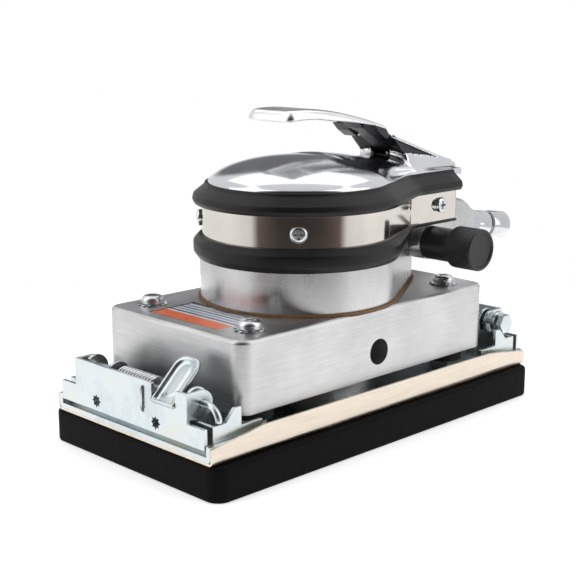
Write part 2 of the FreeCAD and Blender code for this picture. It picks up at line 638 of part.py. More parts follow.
def throttle_lever():
    """Palm lever: pressed plate with turned-down edges and two ears on the pin."""
    half = LEVER_W / 2
    top = lever_profile()
    rim = [(x, z - lever_rim(x)) for x, z in top]
    outer = prism_xz(top + rim[::-1], -half, half)
    inner_top = [(x + (LEVER_T if i == 0 else 0), z) for i, (x, z) in enumerate(lever_profile(LEVER_T))]
    inner_low = [(x, z - LEVER_EDGE) for x, z in inner_top]
    tray = outer.cut(prism_xz(inner_top + inner_low[::-1], -half + LEVER_T, half - LEVER_T))
    inside = SLOT_W / 2 - 0.4
    ears = [lever_ear(-inside), lever_ear(inside - LEVER_T)]
    bridge = box(STEM_X - 3.5, STEM_X + 4.0, -inside, inside, STEM_TOP + 0.6, STEM_TOP + 2.2)
    return fuse([tray, bridge] + ears)


def lever_ear(y):
    """Arm from the plate's underside through the hump's slot to the pin."""
    side = [(24.0, 125.6), (33.0, 123.4), (36.4, 122.0), (57.0, 112.4), (65.0, 109.8), (65.4, 105.4),
            (60.0, 104.8), (50.0, 109.6), (40.0, 116.6), (30.0, 122.0)]
    return prism_xz(side, y, y + LEVER_T).cut(cyl_y(PIN_R + 0.05, y - 1, y + 3, PIN_X, PIN_Z))


def lever_pin():
    half = HUMP_W / 2
    return cyl_y(PIN_R, -half + 0.3, half - 0.3, PIN_X, PIN_Z)


SEAT_Z, STEM_TOP, STEM_FOOT = 84.0, 109.6, 78.0


def valve_stem():
    """Throttle valve: a thin stem with a poppet head below its seat."""
    return fuse([cyl(STEM_R, STEM_FOOT, STEM_TOP, STEM_X), cyl(3.9, STEM_FOOT, SEAT_Z - 0.8, STEM_X)])


def valve_seat():
    return tube(5.0, 2.9, SEAT_Z, SEAT_Z + 6, STEM_X)


def valve_seal():
    return Part.makeTorus(3.2, 0.55, V(STEM_X, 0, 101.4), Z_AXIS)


def valve_spring():
    """Return spring below the valve's poppet: a pressed metal bellows."""
    folds, rise, thick, inner, outer = 6, 1.15, 0.7, 2.4, 3.9
    inside = [(outer if i % 2 else inner, i * rise) for i in range(folds + 1)]
    outside = [(r + thick, z) for r, z in inside]
    return moved(revolved(inside + outside[::-1]), STEM_X, 0, STEM_FOOT - 8.2)


# ---------------------------------------------------------------- regulator

def regulator_sleeve():
    sleeve = cyl_y(SLEEVE_R, SLEEVE_Y, -NECK_W + 0.6, REG_X, REG_Z)
    return sleeve.cut(cyl_y(3.05, SLEEVE_Y - 1, -10, REG_X, REG_Z))


def regulator_knob():
    """Knurled knob with a dished face."""
    knob = cyl_y(KNOB_R, KNOB_Y1, KNOB_Y0, REG_X, REG_Z)
    rim = [e for e in knob.Edges if e.BoundBox.YMax < KNOB_Y1 + 0.01]
    knob = knob.makeFillet(0.8, rim)
    knob = knob.cut(cyl_y(KNOB_R - 1.6, KNOB_Y1 - 1, KNOB_Y1 + 0.5, REG_X, REG_Z))
    return knob.cut(cyl_y(2.0, KNOB_Y1 + 3, KNOB_Y0 + 1, REG_X, REG_Z))


def regulator_spindle():
    """Turning spindle with a cross hole that meters the air."""
    thin = cyl_y(2.0, KNOB_Y1 + 3, SLEEVE_Y + 2, REG_X, REG_Z)
    thick = cyl_y(3.0, SLEEVE_Y + 2, REG_END, REG_X, REG_Z)
    cross = Part.makeCylinder(1.7, 20, V(REG_X - 10, REG_END - 4, REG_Z), X_AXIS)
    return fuse([thin, thick]).cut(cross)


# ---------------------------------------------------------------- inlet and exhaust

FITTING_R, FITTING_L, FITTING_BORE_R = 6.5, 37.0, 3.6
COLLAR_T, SHANK_R = 5.0, 4.8


def inlet_bushing():
    """Threaded reducing bushing in the boss with a hexagon collar."""
    body = fuse([cyl(INLET_BORE_R, -INLET_BORE_L, 0), hexagon(8.6, 0, COLLAR_T)])
    return inlet_axis(body.cut(cyl(SHANK_R + 0.1, -INLET_BORE_L - 1, COLLAR_T + 1)))


def inlet_fitting():
    """Quick-release air plug: shank, hexagon, barrel, groove and nose."""
    shank = cyl(SHANK_R, -8, 6)
    barrel = [cyl(FITTING_R, 12.4, 22.0), cyl(FITTING_R - 1.3, 22.0, 24.6),
              cyl(FITTING_R, 24.6, FITTING_L)]
    whole = fuse([shank, hexagon(7.4, COLLAR_T + 0.4, 12.4)] + barrel)
    return inlet_axis(whole.cut(cyl(FITTING_BORE_R, -9, FITTING_L + 1)))


def inlet_screen():
    """Strainer disc at the foot of the bushing's bore."""
    disc = cyl(4.6, -INLET_BORE_L + 0.4, -INLET_BORE_L + 1.2)
    holes = [cyl(0.6, -20, 0, 2.6 * math.cos(a), 2.6 * math.sin(a))
             for a in (i * math.pi / 3 for i in range(6))]
    return inlet_axis(disc.cut(holes + [cyl(0.6, -20, 0)]))


MUFFLER_R, MUFFLER_Y0, MUFFLER_Y1, MUFFLER_Z = 6.2, 15.0, 30.0, 70.0


def exhaust_muffler():
    """Sintered bronze silencer screwed into the neck's far side."""
    body = cyl_y(MUFFLER_R, MUFFLER_Y0, MUFFLER_Y1, REG_X, MUFFLER_Z)
    cap = [e for e in body.Edges if e.BoundBox.YMin > MUFFLER_Y1 - 0.01]
    return body.makeFillet(2.0, cap)


def band_screws():
    """Screws that hold the band: around the front and on both sides of the neck."""
    screw = pan_screw(3.4, 2.2, 1.6, 3.4)
    placed = []
    for azimuth in (-135.0, 135.0):
        a = math.radians(azimuth)
        x, y = HEAD_X + BAND_R * math.cos(a), BAND_R * math.sin(a)
        placed.append(pointed(screw, x, y, FRONT_SCREW_Z, azimuth))
    for side in (-1, 1):
        placed.append(pointed(screw, NECK_SCREW_X, side * NECK_W, NECK_SCREW_Z, 90.0 * side))
    return group(placed)


# ---------------------------------------------------------------- crank

def rotor():
    """Slotted rotor keyed on the spindle."""
    core = cyl(ROTOR_R, LINER_Z0 + 0.3, LINER_Z1 - 0.3, SHAFT_X)
    slots = [turned(box(12.0, 30.0, -0.9, 0.9, 50, 99), Z_AXIS, i * 72.0) for i in range(5)]
    bore = cyl(SHAFT_R, 40, 99, SHAFT_X)
    return core.cut([moved(s, x=SHAFT_X) for s in slots] + [bore])


def rotor_vanes():
    vane = box(12.6, ROTOR_R - 0.1, -0.85, 0.85, LINER_Z0 + 0.4, LINER_Z1 - 0.4)
    return group([moved(turned(vane, Z_AXIS, i * 72.0), x=SHAFT_X) for i in range(5)])


CRANK_Z0, CRANK_Z1, PIN_Z0 = 31.0, 45.0, 18.6
WEIGHT_R, GRUB_R0, GRUB_Z = 28.0, 14.5, 37.5


def spindle():
    """Motor shaft with its eccentric crank pin below."""
    shaft = cyl(SHAFT_R, CRANK_Z1 - 2, 95.0, SHAFT_X)
    disc = cyl(13.5, CRANK_Z0 - 2.6, CRANK_Z1, SHAFT_X)
    pin = cyl(CRANK_PIN_R, PIN_Z0, CRANK_Z0)
    return fuse([shaft, disc, pin])


def counterweight():
    """Half disc opposite the crank pin."""
    half = tube(WEIGHT_R, 13.5, CRANK_Z0, CRANK_Z1 - 1, SHAFT_X)
    return half.common(box(-60, SHAFT_X + 3, -40, 40, 20, 60))


def counterweight_screws():
    """Two grub screws that lock the counterweight on the crank disc."""
    screw = cyl(2.2, GRUB_R0, GRUB_R0 + 12.0).cut(hexagon(1.4, GRUB_R0 + 9.0, GRUB_R0 + 13.0))
    return [pointed(screw, SHAFT_X, 0, GRUB_Z, 180.0 + a) for a in (-35.0, 35.0)]


# ---------------------------------------------------------------- all nodes

def build():
    grubs = counterweight_screws()
    nodes = {
        "rubber_pad": rubber_pad(), "flange_plate": flange_plate(), "carrier_plate": carrier_plate(),
        "bearing_hub": bearing_hub(), "hub_screws": hub_screws(),
        "crank_pin_bearing": ball_bearing(PIN_BEARING_R, CRANK_PIN_R + 0.05, Z_DECK + 1.6, HUB_TOP - 0.4),
        "support_legs": support_legs(), "leg_nuts": leg_nuts(),
        "lower_housing": lower_housing(), "label_plate": label_plate(),
        "housing_screws": housing_screws(), "toothed_washers": toothed_washers(),
        "housing_gasket": housing_gasket(), "motor_body": motor_body(),
        "cylinder_liner": cylinder_liner(), "lower_end_plate": lower_end_plate(),
        "upper_end_plate": upper_end_plate(), "lower_bearing": lower_bearing(),
        "upper_bearing": upper_bearing(), "steel_band": steel_band(), "band_screws": band_screws(),
        "lower_grip_ring": lower_grip_ring(), "upper_grip_ring": upper_grip_ring(),
        "head_cap": head_cap(), "valve_block": valve_block(), "throttle_lever": throttle_lever(),
        "lever_pin": lever_pin(), "valve_stem": valve_stem(), "valve_seat": valve_seat(),
        "valve_seal": valve_seal(), "valve_spring": valve_spring(),
        "regulator_sleeve": regulator_sleeve(), "regulator_knob": regulator_knob(),
        "regulator_spindle": regulator_spindle(), "inlet_bushing": inlet_bushing(),
        "inlet_fitting": inlet_fitting(), "inlet_screen": inlet_screen(),
        "exhaust_muffler": exhaust_muffler(), "rotor": rotor(), "rotor_vanes": rotor_vanes(),
        "spindle": spindle(), "counterweight": counterweight().cut(grubs),
        "counterweight_screws": group(grubs),
    }
    nodes["front_clamp_rod"] = clamp_rod(headed=False)
    nodes["rear_clamp_rod"] = rear(clamp_rod(headed=True))
    clamp = {"clamp_bracket": clamp_bracket(), "clamp_sleeve": clamp_sleeve(),
             "clamp_spring": clamp_spring(), "clamp_jaw": clamp_jaw(), "thumb_lever": thumb_lever()}
    for name, shape in clamp.items():
        nodes["front_" + name] = shape
        nodes["rear_" + name] = rear(shape)
    return nodes


def main():
    os.makedirs("parts", exist_ok=True)
    for name, shape in build().items():
        shape.exportStep("parts/" + name + ".step")


main()
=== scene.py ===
"""Palm orbital sander run by compressed air: finishes and detailed pieces around its frame."""
import json
import math

import bpy
import numpy as np
from bpy.props import FloatProperty, FloatVectorProperty, IntProperty, PointerProperty
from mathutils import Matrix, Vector


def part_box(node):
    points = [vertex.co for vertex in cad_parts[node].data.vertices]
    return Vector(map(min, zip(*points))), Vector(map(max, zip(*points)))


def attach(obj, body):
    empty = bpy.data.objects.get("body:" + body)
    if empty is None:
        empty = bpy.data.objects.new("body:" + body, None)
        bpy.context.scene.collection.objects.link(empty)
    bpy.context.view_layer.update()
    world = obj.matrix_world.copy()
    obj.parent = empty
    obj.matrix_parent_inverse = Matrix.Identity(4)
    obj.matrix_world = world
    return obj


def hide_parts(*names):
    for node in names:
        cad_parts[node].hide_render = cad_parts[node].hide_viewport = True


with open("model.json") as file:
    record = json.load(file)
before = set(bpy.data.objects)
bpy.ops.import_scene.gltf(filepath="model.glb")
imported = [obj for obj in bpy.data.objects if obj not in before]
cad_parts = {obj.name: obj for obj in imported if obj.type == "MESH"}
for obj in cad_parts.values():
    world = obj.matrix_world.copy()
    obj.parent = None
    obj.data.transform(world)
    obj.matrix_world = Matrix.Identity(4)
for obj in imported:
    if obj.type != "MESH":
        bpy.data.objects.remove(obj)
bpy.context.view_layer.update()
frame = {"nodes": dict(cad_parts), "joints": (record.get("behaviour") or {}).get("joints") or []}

bl_info = {
    "name": "Palm orbital sander",
    "version": (1, 0, 0),
    "blender": (4, 5, 0),
    "location": "3D View > Sidebar > Sander",
    "description": "Builds the looks of an air-powered orbital sander around its frame",
    "category": "Add Mesh",
}

MM = 0.001
TURN = 2 * math.pi


# ---------------------------------------------------------------- places and sizes

BAND_LOW, BAND_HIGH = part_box("steel_band")
BAND_R = BAND_HIGH.y
HEAD_X = BAND_LOW.x + BAND_R
CAP_LOW, CAP_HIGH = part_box("head_cap")
FRONT_ROD = Vector(next(j["pos_m"] for j in frame["joints"] if j["name"] == "front_clamp_open"))

# The head's outline: a round front whose tangents bend into a parallel neck
NECK_HALF = 23.0 * MM
NECK_ANGLE = math.radians(25.0)
BLEND_R = 15.0 * MM
NECK_END = BAND_HIGH.x

# In millimetres: the cap's valve hump and saddle, and the space for the valve and the lever's arm
HUMP_X0, HUMP_X1, HUMP_Z0, HUMP_Z1, HUMP_FLOOR = 37.8, 84.0, 119.6, 103.6, 102.6
HUMP_SLOPE = math.atan2(HUMP_Z0 - HUMP_Z1, HUMP_X1 - HUMP_X0)
HUMP_HALF, HUMP_WALL = 13.0, 1.5
CAP_R, CAP_INSET, CAP_END, CAP_DECK = 40.0, 2.5, 78.0, 3.0
SADDLE_HALF, SADDLE_START = 21.5, 10.0
CREST_X, CREST_Z = (-10.0, 20.0, 48.0, 84.0), (111.0, 110.0, 108.2, 101.5)
VALVE_X, VALVE_END = 52.5, 70.0
ARM_HALF, ARM_SLOT, ARM_SLOT_END = 4.9, 5.3, 67.5

# In millimetres: the palm lever's plate, with its crown line from tip to end
PALM_TIP, PALM_END, PALM_HALF, PALM_ROUND = -22.0, 36.6, 13.0, 4.2
PALM_X = (-22.0, -12.0, -3.0, 9.5, 22.0, 33.0, 36.6)
PALM_Z = (131.3, 131.9, 131.5, 129.5, 126.8, 123.9, 122.7)
PALM_CURVE = np.polyfit(PALM_X, PALM_Z, 4)

# In millimetres: a clamp's thumb tab, and the hook at the end of its spring
TAB_HALF, TAB_LONG, TAB_WALL, TAB_FOOT_Z, TAB_LEAN = 6.5, 21.0, 1.2, 30.6, math.radians(46.0)
HOOK_Y, HOOK_WIRE = -8.7, 0.5

# The camera, in metres and degrees
CAMERA_PLACE = (-0.3582, -0.3545, 0.1686)
CAMERA_AZIMUTH = -44.47


def head_path(arc_steps=72, blend_steps=10, straight_steps=6):
    """Points of the open outline with their outward normals, from the neck's +Y end round to -Y."""
    a = NECK_ANGLE
    bend_x = HEAD_X + (BAND_R + BLEND_R - (NECK_HALF + BLEND_R) * math.cos(a)) / math.sin(a)
    bend_y = NECK_HALF + BLEND_R
    half = []
    for i in range(straight_steps):
        half.append((NECK_END + (bend_x - NECK_END) * i / straight_steps, NECK_HALF, 0.0, 1.0))
    for i in range(blend_steps):
        angle = -math.pi / 2 - a * i / blend_steps
        nx, ny = math.cos(angle), math.sin(angle)
        half.append((bend_x + BLEND_R * nx, bend_y + BLEND_R * ny, -nx, -ny))
    start = math.pi / 2 - a
    for i in range(arc_steps + 1):
        angle = start + (math.pi - start) * i / arc_steps
        nx, ny = math.cos(angle), math.sin(angle)
        half.append((HEAD_X + BAND_R * nx, BAND_R * ny, nx, ny))
    other = [(x, -y, nx, -ny) for x, y, nx, ny in half[-2::-1]]
    return half + other


# ---------------------------------------------------------------- settings

def colour_setting(name, description, default):
    return FloatVectorProperty(name=name, description=description, default=default,
                               subtype="COLOR", size=3, min=0.0, max=1.0)


class SanderFinishes(bpy.types.PropertyGroup):
    """Colours of the finishes that a user would change."""
    casting: colour_setting("Casting", "Lower housing and motor body", (0.60, 0.60, 0.60))
    polish: colour_setting("Polish", "Polished head cap", (0.74, 0.75, 0.77))
    band: colour_setting("Band", "Bright band round the head", (0.90, 0.86, 0.78))
    zinc: colour_setting("Zinc", "Zinc-plated clamps and carrier", (0.62, 0.68, 0.70))
    flange: colour_setting("Flange", "Warm satin pad plate", (0.74, 0.66, 0.56))
    grip: colour_setting("Grip", "Rubber bumpers of the head", (0.007, 0.007, 0.0075))
    pad: colour_setting("Pad", "Rubber of the pad", (0.003, 0.003, 0.0035))
    accent: colour_setting("Label accent", "Coloured block of the label", (0.86, 0.16, 0.04))


class SanderSizes(bpy.types.PropertyGroup):
    """Sizes of the details that the frame leaves open."""
    dome_rise: FloatProperty(name="Dome rise", description="Height of the dome over the casting",
                             default=13.5 * MM, subtype="DISTANCE", unit="LENGTH")
    dome_radius: FloatProperty(name="Dome radius", description="Radius of the dome at its foot",
                               default=38.6 * MM, subtype="DISTANCE", unit="LENGTH")
    fillet: FloatProperty(name="Fillet", description="Blend between the dome and the valve hump",
                          default=5.0 * MM, subtype="DISTANCE", unit="LENGTH")
    sheet_edge: FloatProperty(name="Sheet edge", description="Rounding of cut sheet edges",
                              default=0.22 * MM, subtype="DISTANCE", unit="LENGTH")
    knurls: IntProperty(name="Knurls", description="Ridges around the regulator knob", default=56)
    spring_turns: IntProperty(name="Spring turns", description="Turns of each clamp spring", default=12)


class StageSettings(bpy.types.PropertyGroup):
    """Camera, floor and lights."""
    lens: FloatProperty(name="Lens", description="Focal length", default=76.5, subtype="DISTANCE_CAMERA")
    elevation: FloatProperty(name="Elevation", description="Camera's tilt below level",
                             default=math.radians(12.6), subtype="ANGLE", unit="ROTATION")
    azimuth: FloatProperty(name="Azimuth", description="Camera's direction about the vertical",
                           default=math.radians(CAMERA_AZIMUTH), subtype="ANGLE", unit="ROTATION")
    floor_radius: FloatProperty(name="Floor radius", description="Radius of the round floor",
                                default=0.30, subtype="DISTANCE", unit="LENGTH")


# ---------------------------------------------------------------- node helpers

def new_material(name):
    material = bpy.data.materials.new(name)
    material.use_nodes = True
    return material, material.node_tree, material.node_tree.nodes["Principled BSDF"]


def add_node(tree, kind, **inputs):
    node = tree.nodes.new("ShaderNode" + kind)
    for key, value in inputs.items():
        node.inputs[key.replace("_", " ")].default_value = value
    return node


def noise(tree, scale, detail=4.0, roughness=0.6, stretch=(1.0, 1.0, 1.0)):
    """Noise over the piece's own coordinates; scale counts features in a metre."""
    place = add_node(tree, "TexCoord")
    mapping = add_node(tree, "Mapping")
    mapping.inputs["Scale"].default_value = stretch
    texture = add_node(tree, "TexNoise", Scale=scale, Detail=detail, Roughness=roughness)
    tree.links.new(place.outputs["Object"], mapping.inputs["Vector"])
    tree.links.new(mapping.outputs["Vector"], texture.inputs["Vector"])
    return texture.outputs["Fac"]


def ramp(tree, source, stops):
    node = add_node(tree, "ValToRGB")
    elements = node.color_ramp.elements
    while len(elements) < len(stops):
        elements.new(0.5)
    for element, (position, colour) in zip(elements, stops):
        element.position = position
        element.color = (*colour, 1.0)
    tree.links.new(source, node.inputs["Fac"])
    return node.outputs["Color"]


def spread(tree, source, low, high, from_low=0.3, from_high=0.7):
    node = add_node(tree, "MapRange", From_Min=from_low, From_Max=from_high, To_Min=low, To_Max=high)
    tree.links.new(source, node.inputs["Value"])
    return node.outputs["Result"]


def bump(tree, source, depth, after=None):
    node = add_node(tree, "Bump", Distance=depth, Strength=1.0)
    tree.links.new(source, node.inputs["Height"])
    if after is not None:
        tree.links.new(after, node.inputs["Normal"])
    return node.outputs["Normal"]


def multiplied(tree, colour, by, factor):
    """One colour times another, by that much."""
    node = add_node(tree, "Mix")
    node.data_type = "RGBA"
    node.blend_type = "MULTIPLY"
    node.inputs["Factor"].default_value = factor
    tree.links.new(colour, node.inputs["A"])
    tree.links.new(by, node.inputs["B"])
    return node.outputs["Result"]


def shaded(colour, factor):
    return tuple(min(1.0, c * factor) for c in colour)


def join_finish(tree, shader, tint, rough, normal, metallic=1.0):
    """Colour, roughness and relief into their shader, which is metal all over or not at all."""
    tree.links.new(tint, shader.inputs["Base Color"])
    tree.links.new(rough, shader.inputs["Roughness"])
    tree.links.new(normal, shader.inputs["Normal"])
    shader.inputs["Metallic"].default_value = metallic


def grained(name, colour, contrast, rough, scale, stretch, depth, metallic=1.0, detail=4.0):
    """A finish with one grain: colour, roughness and relief all follow the same noise."""
    material, tree, shader = new_material(name)
    grain = noise(tree, scale, detail, 0.62, stretch)
    tint = ramp(tree, grain, [(0.30, shaded(colour, 1 - contrast)), (0.72, shaded(colour, 1 + contrast))])
    normal = bump(tree, grain, depth)
    join_finish(tree, shader, tint, spread(tree, grain, *rough), normal, metallic)
    return material, tree, shader, normal


# ---------------------------------------------------------------- finishes

def pad_rubber_finish(colours):
    """Matt moulded rubber with a fine pebble and grey dust."""
    material, tree, shader, normal = grained("pad_rubber_finish", colours.pad, 0.35, (0.55, 0.75), 900.0,
                                             (1, 1, 1), 0.00012, metallic=0.0)
    pebble = noise(tree, 4200.0, 2.0)
    tree.links.new(bump(tree, pebble, 0.00005, normal), shader.inputs["Normal"])
    shader.inputs["Specular IOR Level"].default_value = 0.08
    return material


def grip_rubber_finish(colours):
    """Satin rubber, a little lighter where it is handled."""
    material, tree, shader = new_material("grip_rubber_finish")
    cloud = noise(tree, 60.0, 3.0)
    tint = ramp(tree, cloud, [(0.3, shaded(colours.grip, 0.8)), (0.7, shaded(colours.grip, 1.35))])
    pebble = bump(tree, noise(tree, 3000.0, 2.0), 0.00003)
    join_finish(tree, shader, tint, spread(tree, cloud, 0.36, 0.48), pebble, metallic=0.0)
    shader.inputs["Specular IOR Level"].default_value = 0.28
    return material


def leg_rubber_finish(colours):
    return grained("leg_rubber_finish", (0.035, 0.035, 0.036), 0.3, (0.5, 0.65), 1200.0, (1, 1, 1), 0.00006,
                   metallic=0.0)[0]


def flange_finish(colours):
    """Warm satin rolled steel with long faint streaks and small stains."""
    material, tree, shader, normal = grained("flange_finish", colours.flange, 0.10, (0.30, 0.46), 420.0,
                                             (0.12, 1, 1), 0.00002)
    speck = noise(tree, 1500.0, 5.0)
    tree.links.new(bump(tree, speck, 0.00002, normal), shader.inputs["Normal"])
    return material


def zinc_finish(colours):
    """Bright zinc plate: faintly blue, cloudy, with drawn lines."""
    material, tree, shader = new_material("zinc_finish")
    cloud = noise(tree, 70.0, 3.0)
    blue, straw = shaded(colours.zinc, 0.84), shaded((0.82, 0.83, 0.76), 0.82)
    tint = ramp(tree, cloud, [(0.30, blue), (0.50, colours.zinc[:]), (0.70, straw)])
    drawn = bump(tree, noise(tree, 900.0, 3.0, 0.6, (1, 0.06, 1)), 0.00002)
    join_finish(tree, shader, tint, spread(tree, cloud, 0.22, 0.36), drawn)
    return material


def brushed_casting_finish(colours):
    """Aluminium casting dressed with a belt: fine level lines, small nicks and soft clouds."""
    material, tree, shader = new_material("brushed_casting_finish")
    lines = noise(tree, 1500.0, 6.0, 0.7, (0.035, 0.035, 1))
    cloud = noise(tree, 45.0, 3.0)
    mixed = add_node(tree, "Mix")
    mixed.inputs["Factor"].default_value = 0.45
    tree.links.new(lines, mixed.inputs["A"])
    tree.links.new(cloud, mixed.inputs["B"])
    grain = mixed.outputs["Result"]
    tint = ramp(tree, grain, [(0.34, shaded(colours.casting, 0.80)), (0.66, shaded(colours.casting, 1.14))])
    nicks = bump(tree, noise(tree, 700.0, 8.0, 0.8), 0.00002, bump(tree, lines, 0.00003))
    join_finish(tree, shader, tint, spread(tree, grain, 0.30, 0.46), nicks)
    return material


def turned_casting_finish(colours):
    """Aluminium casting left as turned, with fine pits."""
    material, tree, shader = new_material("turned_casting_finish")
    cloud = noise(tree, 60.0, 4.0, 0.6, (1, 1, 0.5))
    tint = ramp(tree, cloud, [(0.3, shaded(colours.casting, 0.94)), (0.7, shaded(colours.casting, 1.12))])
    turned = bump(tree, noise(tree, 1400.0, 3.0, 0.6, (0.05, 0.05, 1)), 0.000015)
    pits = bump(tree, noise(tree, 1600.0, 6.0, 0.75), 0.000012, turned)
    join_finish(tree, shader, tint, spread(tree, cloud, 0.24, 0.32), pits)
    return material


def polished_finish(name, colour, low, high):
    """Polished metal: almost a mirror, with faint waves and hazy patches."""
    material, tree, shader = new_material(name + "_finish")
    haze = noise(tree, 90.0, 4.0)
    tint = ramp(tree, haze, [(0.3, shaded(colour, 0.95)), (0.7, shaded(colour, 1.03))])
    waves = bump(tree, noise(tree, 55.0, 1.0), 0.00003)
    join_finish(tree, shader, tint, spread(tree, haze, low, high), waves)
    return material


def moulded_black_finish(name, colour, low, high):
    """Fine-textured black plastic or paint."""
    return grained(name + "_finish", colour, 0.3, (low, high), 1600.0, (1, 1, 1), 0.00003, metallic=0.0)[0]


def gasket_finish(colours):
    """Pressed brown fibre with flecks."""
    return grained("gasket_finish", (0.20, 0.11, 0.05), 0.45, (0.7, 0.9), 1400.0, (1, 1, 0.4), 0.0001,
                   metallic=0.0, detail=8.0)[0]


def label_finish(colours):
    """Printed film: one coloured block and pale rows, split along X."""
    material, tree, shader = new_material("label_finish")
    low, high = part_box("label_plate")
    place = add_node(tree, "TexCoord")
    parts = add_node(tree, "SeparateXYZ")
    tree.links.new(place.outputs["Object"], parts.inputs["Vector"])
    along = spread(tree, parts.outputs["X"], 0.0, 1.0, low.x, high.x)
    pale, blue, ink = (0.72, 0.76, 0.82), (0.22, 0.28, 0.42), (0.05, 0.055, 0.07)
    stops = [(0.0, ink), (0.03, colours.accent[:]), (0.36, pale), (0.43, ink), (0.49, pale), (0.56, blue),
             (0.61, pale), (0.68, ink), (0.73, pale), (0.80, blue), (0.85, pale), (0.94, ink)]
    rows = ramp(tree, along, stops)
    rows.node.color_ramp.interpolation = "CONSTANT"
    wear = noise(tree, 260.0, 4.0)
    worn = multiplied(tree, rows, ramp(tree, wear, [(0.3, (0.7, 0.7, 0.7)), (0.6, (1, 1, 1))]), 0.35)
    tree.links.new(worn, shader.inputs["Base Color"])
    tree.links.new(spread(tree, wear, 0.25, 0.4), shader.inputs["Roughness"])
    return material


def inner_finish(name, colour, rough, metallic=1.0):
    """Plain machined metal of the hidden works, with turning marks."""
    return grained(name + "_finish", colour, 0.12, rough, 900.0, (1, 1, 0.2), 0.00002, metallic=metallic)[0]


def finish(name):
    """The finish of that record slot, made once."""
    return bpy.data.materials.get(name + "_finish") or FINISHES[name](bpy.context.scene.sander_finishes)


# Every finish is made from the settings' colours, though some need none of them
FINISHES = {
    "pad_rubber": pad_rubber_finish,
    "leg_rubber": leg_rubber_finish,
    "grip_rubber": grip_rubber_finish,
    "flange_steel": flange_finish,
    "zinc_steel": zinc_finish,
    "cast_aluminium": brushed_casting_finish,
    "body_aluminium": turned_casting_finish,
    "polished_aluminium": lambda c: polished_finish("polished_aluminium", c.polish, 0.10, 0.16),
    "band_steel": lambda c: polished_finish("band_steel", c.band, 0.07, 0.12),
    "lever_nickel": lambda c: polished_finish("lever_nickel", (0.86, 0.86, 0.86), 0.22, 0.32),
    "screw_chrome": lambda c: polished_finish("screw_chrome", (0.72, 0.74, 0.76), 0.20, 0.32),
    "fitting_chrome": lambda c: polished_finish("fitting_chrome", (0.62, 0.64, 0.66), 0.08, 0.16),
    "black_plastic": lambda c: moulded_black_finish("black_plastic", (0.012, 0.012, 0.014), 0.38, 0.5),
    # The next finish is painted shade: black for the valve block, the strips beside it and the lever's arms,
    # where the hump's front and the space under the lever's end lie in shade.
    "block_black": lambda c: moulded_black_finish("block_black", (0.010, 0.011, 0.014), 0.3, 0.42),
    "gasket_fibre": gasket_finish,
    "label_film": label_finish,
    "hard_steel": lambda c: inner_finish("hard_steel", (0.70, 0.71, 0.73), (0.2, 0.32)),
    "cast_iron": lambda c: inner_finish("cast_iron", (0.22, 0.22, 0.23), (0.4, 0.55)),
    "vane_composite": lambda c: inner_finish("vane_composite", (0.24, 0.12, 0.05), (0.5, 0.7), 0.0),
    "bronze": lambda c: inner_finish("bronze", (0.55, 0.36, 0.14), (0.35, 0.5)),
    "seal_rubber": lambda c: moulded_black_finish("seal_rubber", (0.02, 0.02, 0.02), 0.4, 0.5),
}


# ---------------------------------------------------------------- mesh helpers

def paint(piece, slot):
    piece.data.materials.clear()
    piece.data.materials.append(finish(slot))


def dress(node, slot, edge=0.0):
    """Carry a frame node over with its finish; edge rounds its sharp edges by that much."""
    piece = frame["nodes"][node]
    paint(piece, slot)
    if edge:
        weld = piece.modifiers.new("joined", "WELD")
        weld.merge_threshold = 0.00001
        round_edges(piece, edge)
    return piece


def round_edges(piece, width, segments=2, angle=30.0):
    bevel = piece.modifiers.new("rounded", "BEVEL")
    bevel.width = width
    bevel.segments = segments
    bevel.limit_method = "ANGLE"
    bevel.angle_limit = math.radians(angle)
    bevel.use_clamp_overlap = True
    bevel.harden_normals = False


def make_piece(name, vertices, faces, body, slot, stands_for=(), smooth=True):
    """A new piece from vertices and faces, riding on a body with its finish."""
    mesh = bpy.data.meshes.new(name)
    mesh.from_pydata([tuple(v) for v in vertices], [], [tuple(f) for f in faces])
    mesh.validate()
    mesh.update()
    if smooth:
        mesh.shade_smooth()
    piece = bpy.data.objects.new(name, mesh)
    bpy.context.scene.collection.objects.link(piece)
    paint(piece, slot)
    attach(piece, body)
    if stands_for:
        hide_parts(*stands_for)
    return piece


def rod_faces(count, rows):
    """Quads between rows of count points each, closed around, with a face at each end."""
    faces = []
    for a in range(0, count * (rows - 1), count):
        b = a + count
        for i in range(count):
            j = (i + 1) % count
            faces.append((a + i, a + j, b + j, b + i))
    first, last = range(count), range(count * (rows - 1), count * rows)
    return faces + [tuple(reversed(first)), tuple(last)]


def moved(faces, offset):
    """Faces of a part whose vertices follow that many others."""
    return [tuple(i + offset for i in face) for face in faces]


def revolved(profile, steps=96, ripple=None):
    """Vertices and faces of a profile of (radius, height) turned about Z, capped at both ends."""
    vertices = []
    for r, z in profile:
        for i in range(steps):
            angle = TURN * i / steps
            grown = r + (ripple(angle, r, z) if ripple else 0.0)
            vertices.append((grown * math.cos(angle), grown * math.sin(angle), z))
    return vertices, rod_faces(steps, len(profile))


def rounded_corner(r0, z0, r1, z1, r2, z2, radius, steps=5):
    """Points of a fillet at corner 1 of a profile that comes from 0 and leaves to 2."""
    corner = Vector((r1, z1))
    back = (Vector((r0, z0)) - corner).normalized()
    ahead = (Vector((r2, z2)) - corner).normalized()
    half = back.angle(ahead) / 2
    reach = radius / math.tan(half)
    centre = corner + (back + ahead).normalized() * (radius / math.sin(half))
    start, end = corner + back * reach - centre, corner + ahead * reach - centre
    first = math.atan2(start.y, start.x)
    sweep = math.remainder(math.atan2(end.y, end.x) - first, TURN)
    angles = [first + sweep * i / steps for i in range(steps + 1)]
    return [(centre.x + radius * math.cos(a), centre.y + radius * math.sin(a)) for a in angles]


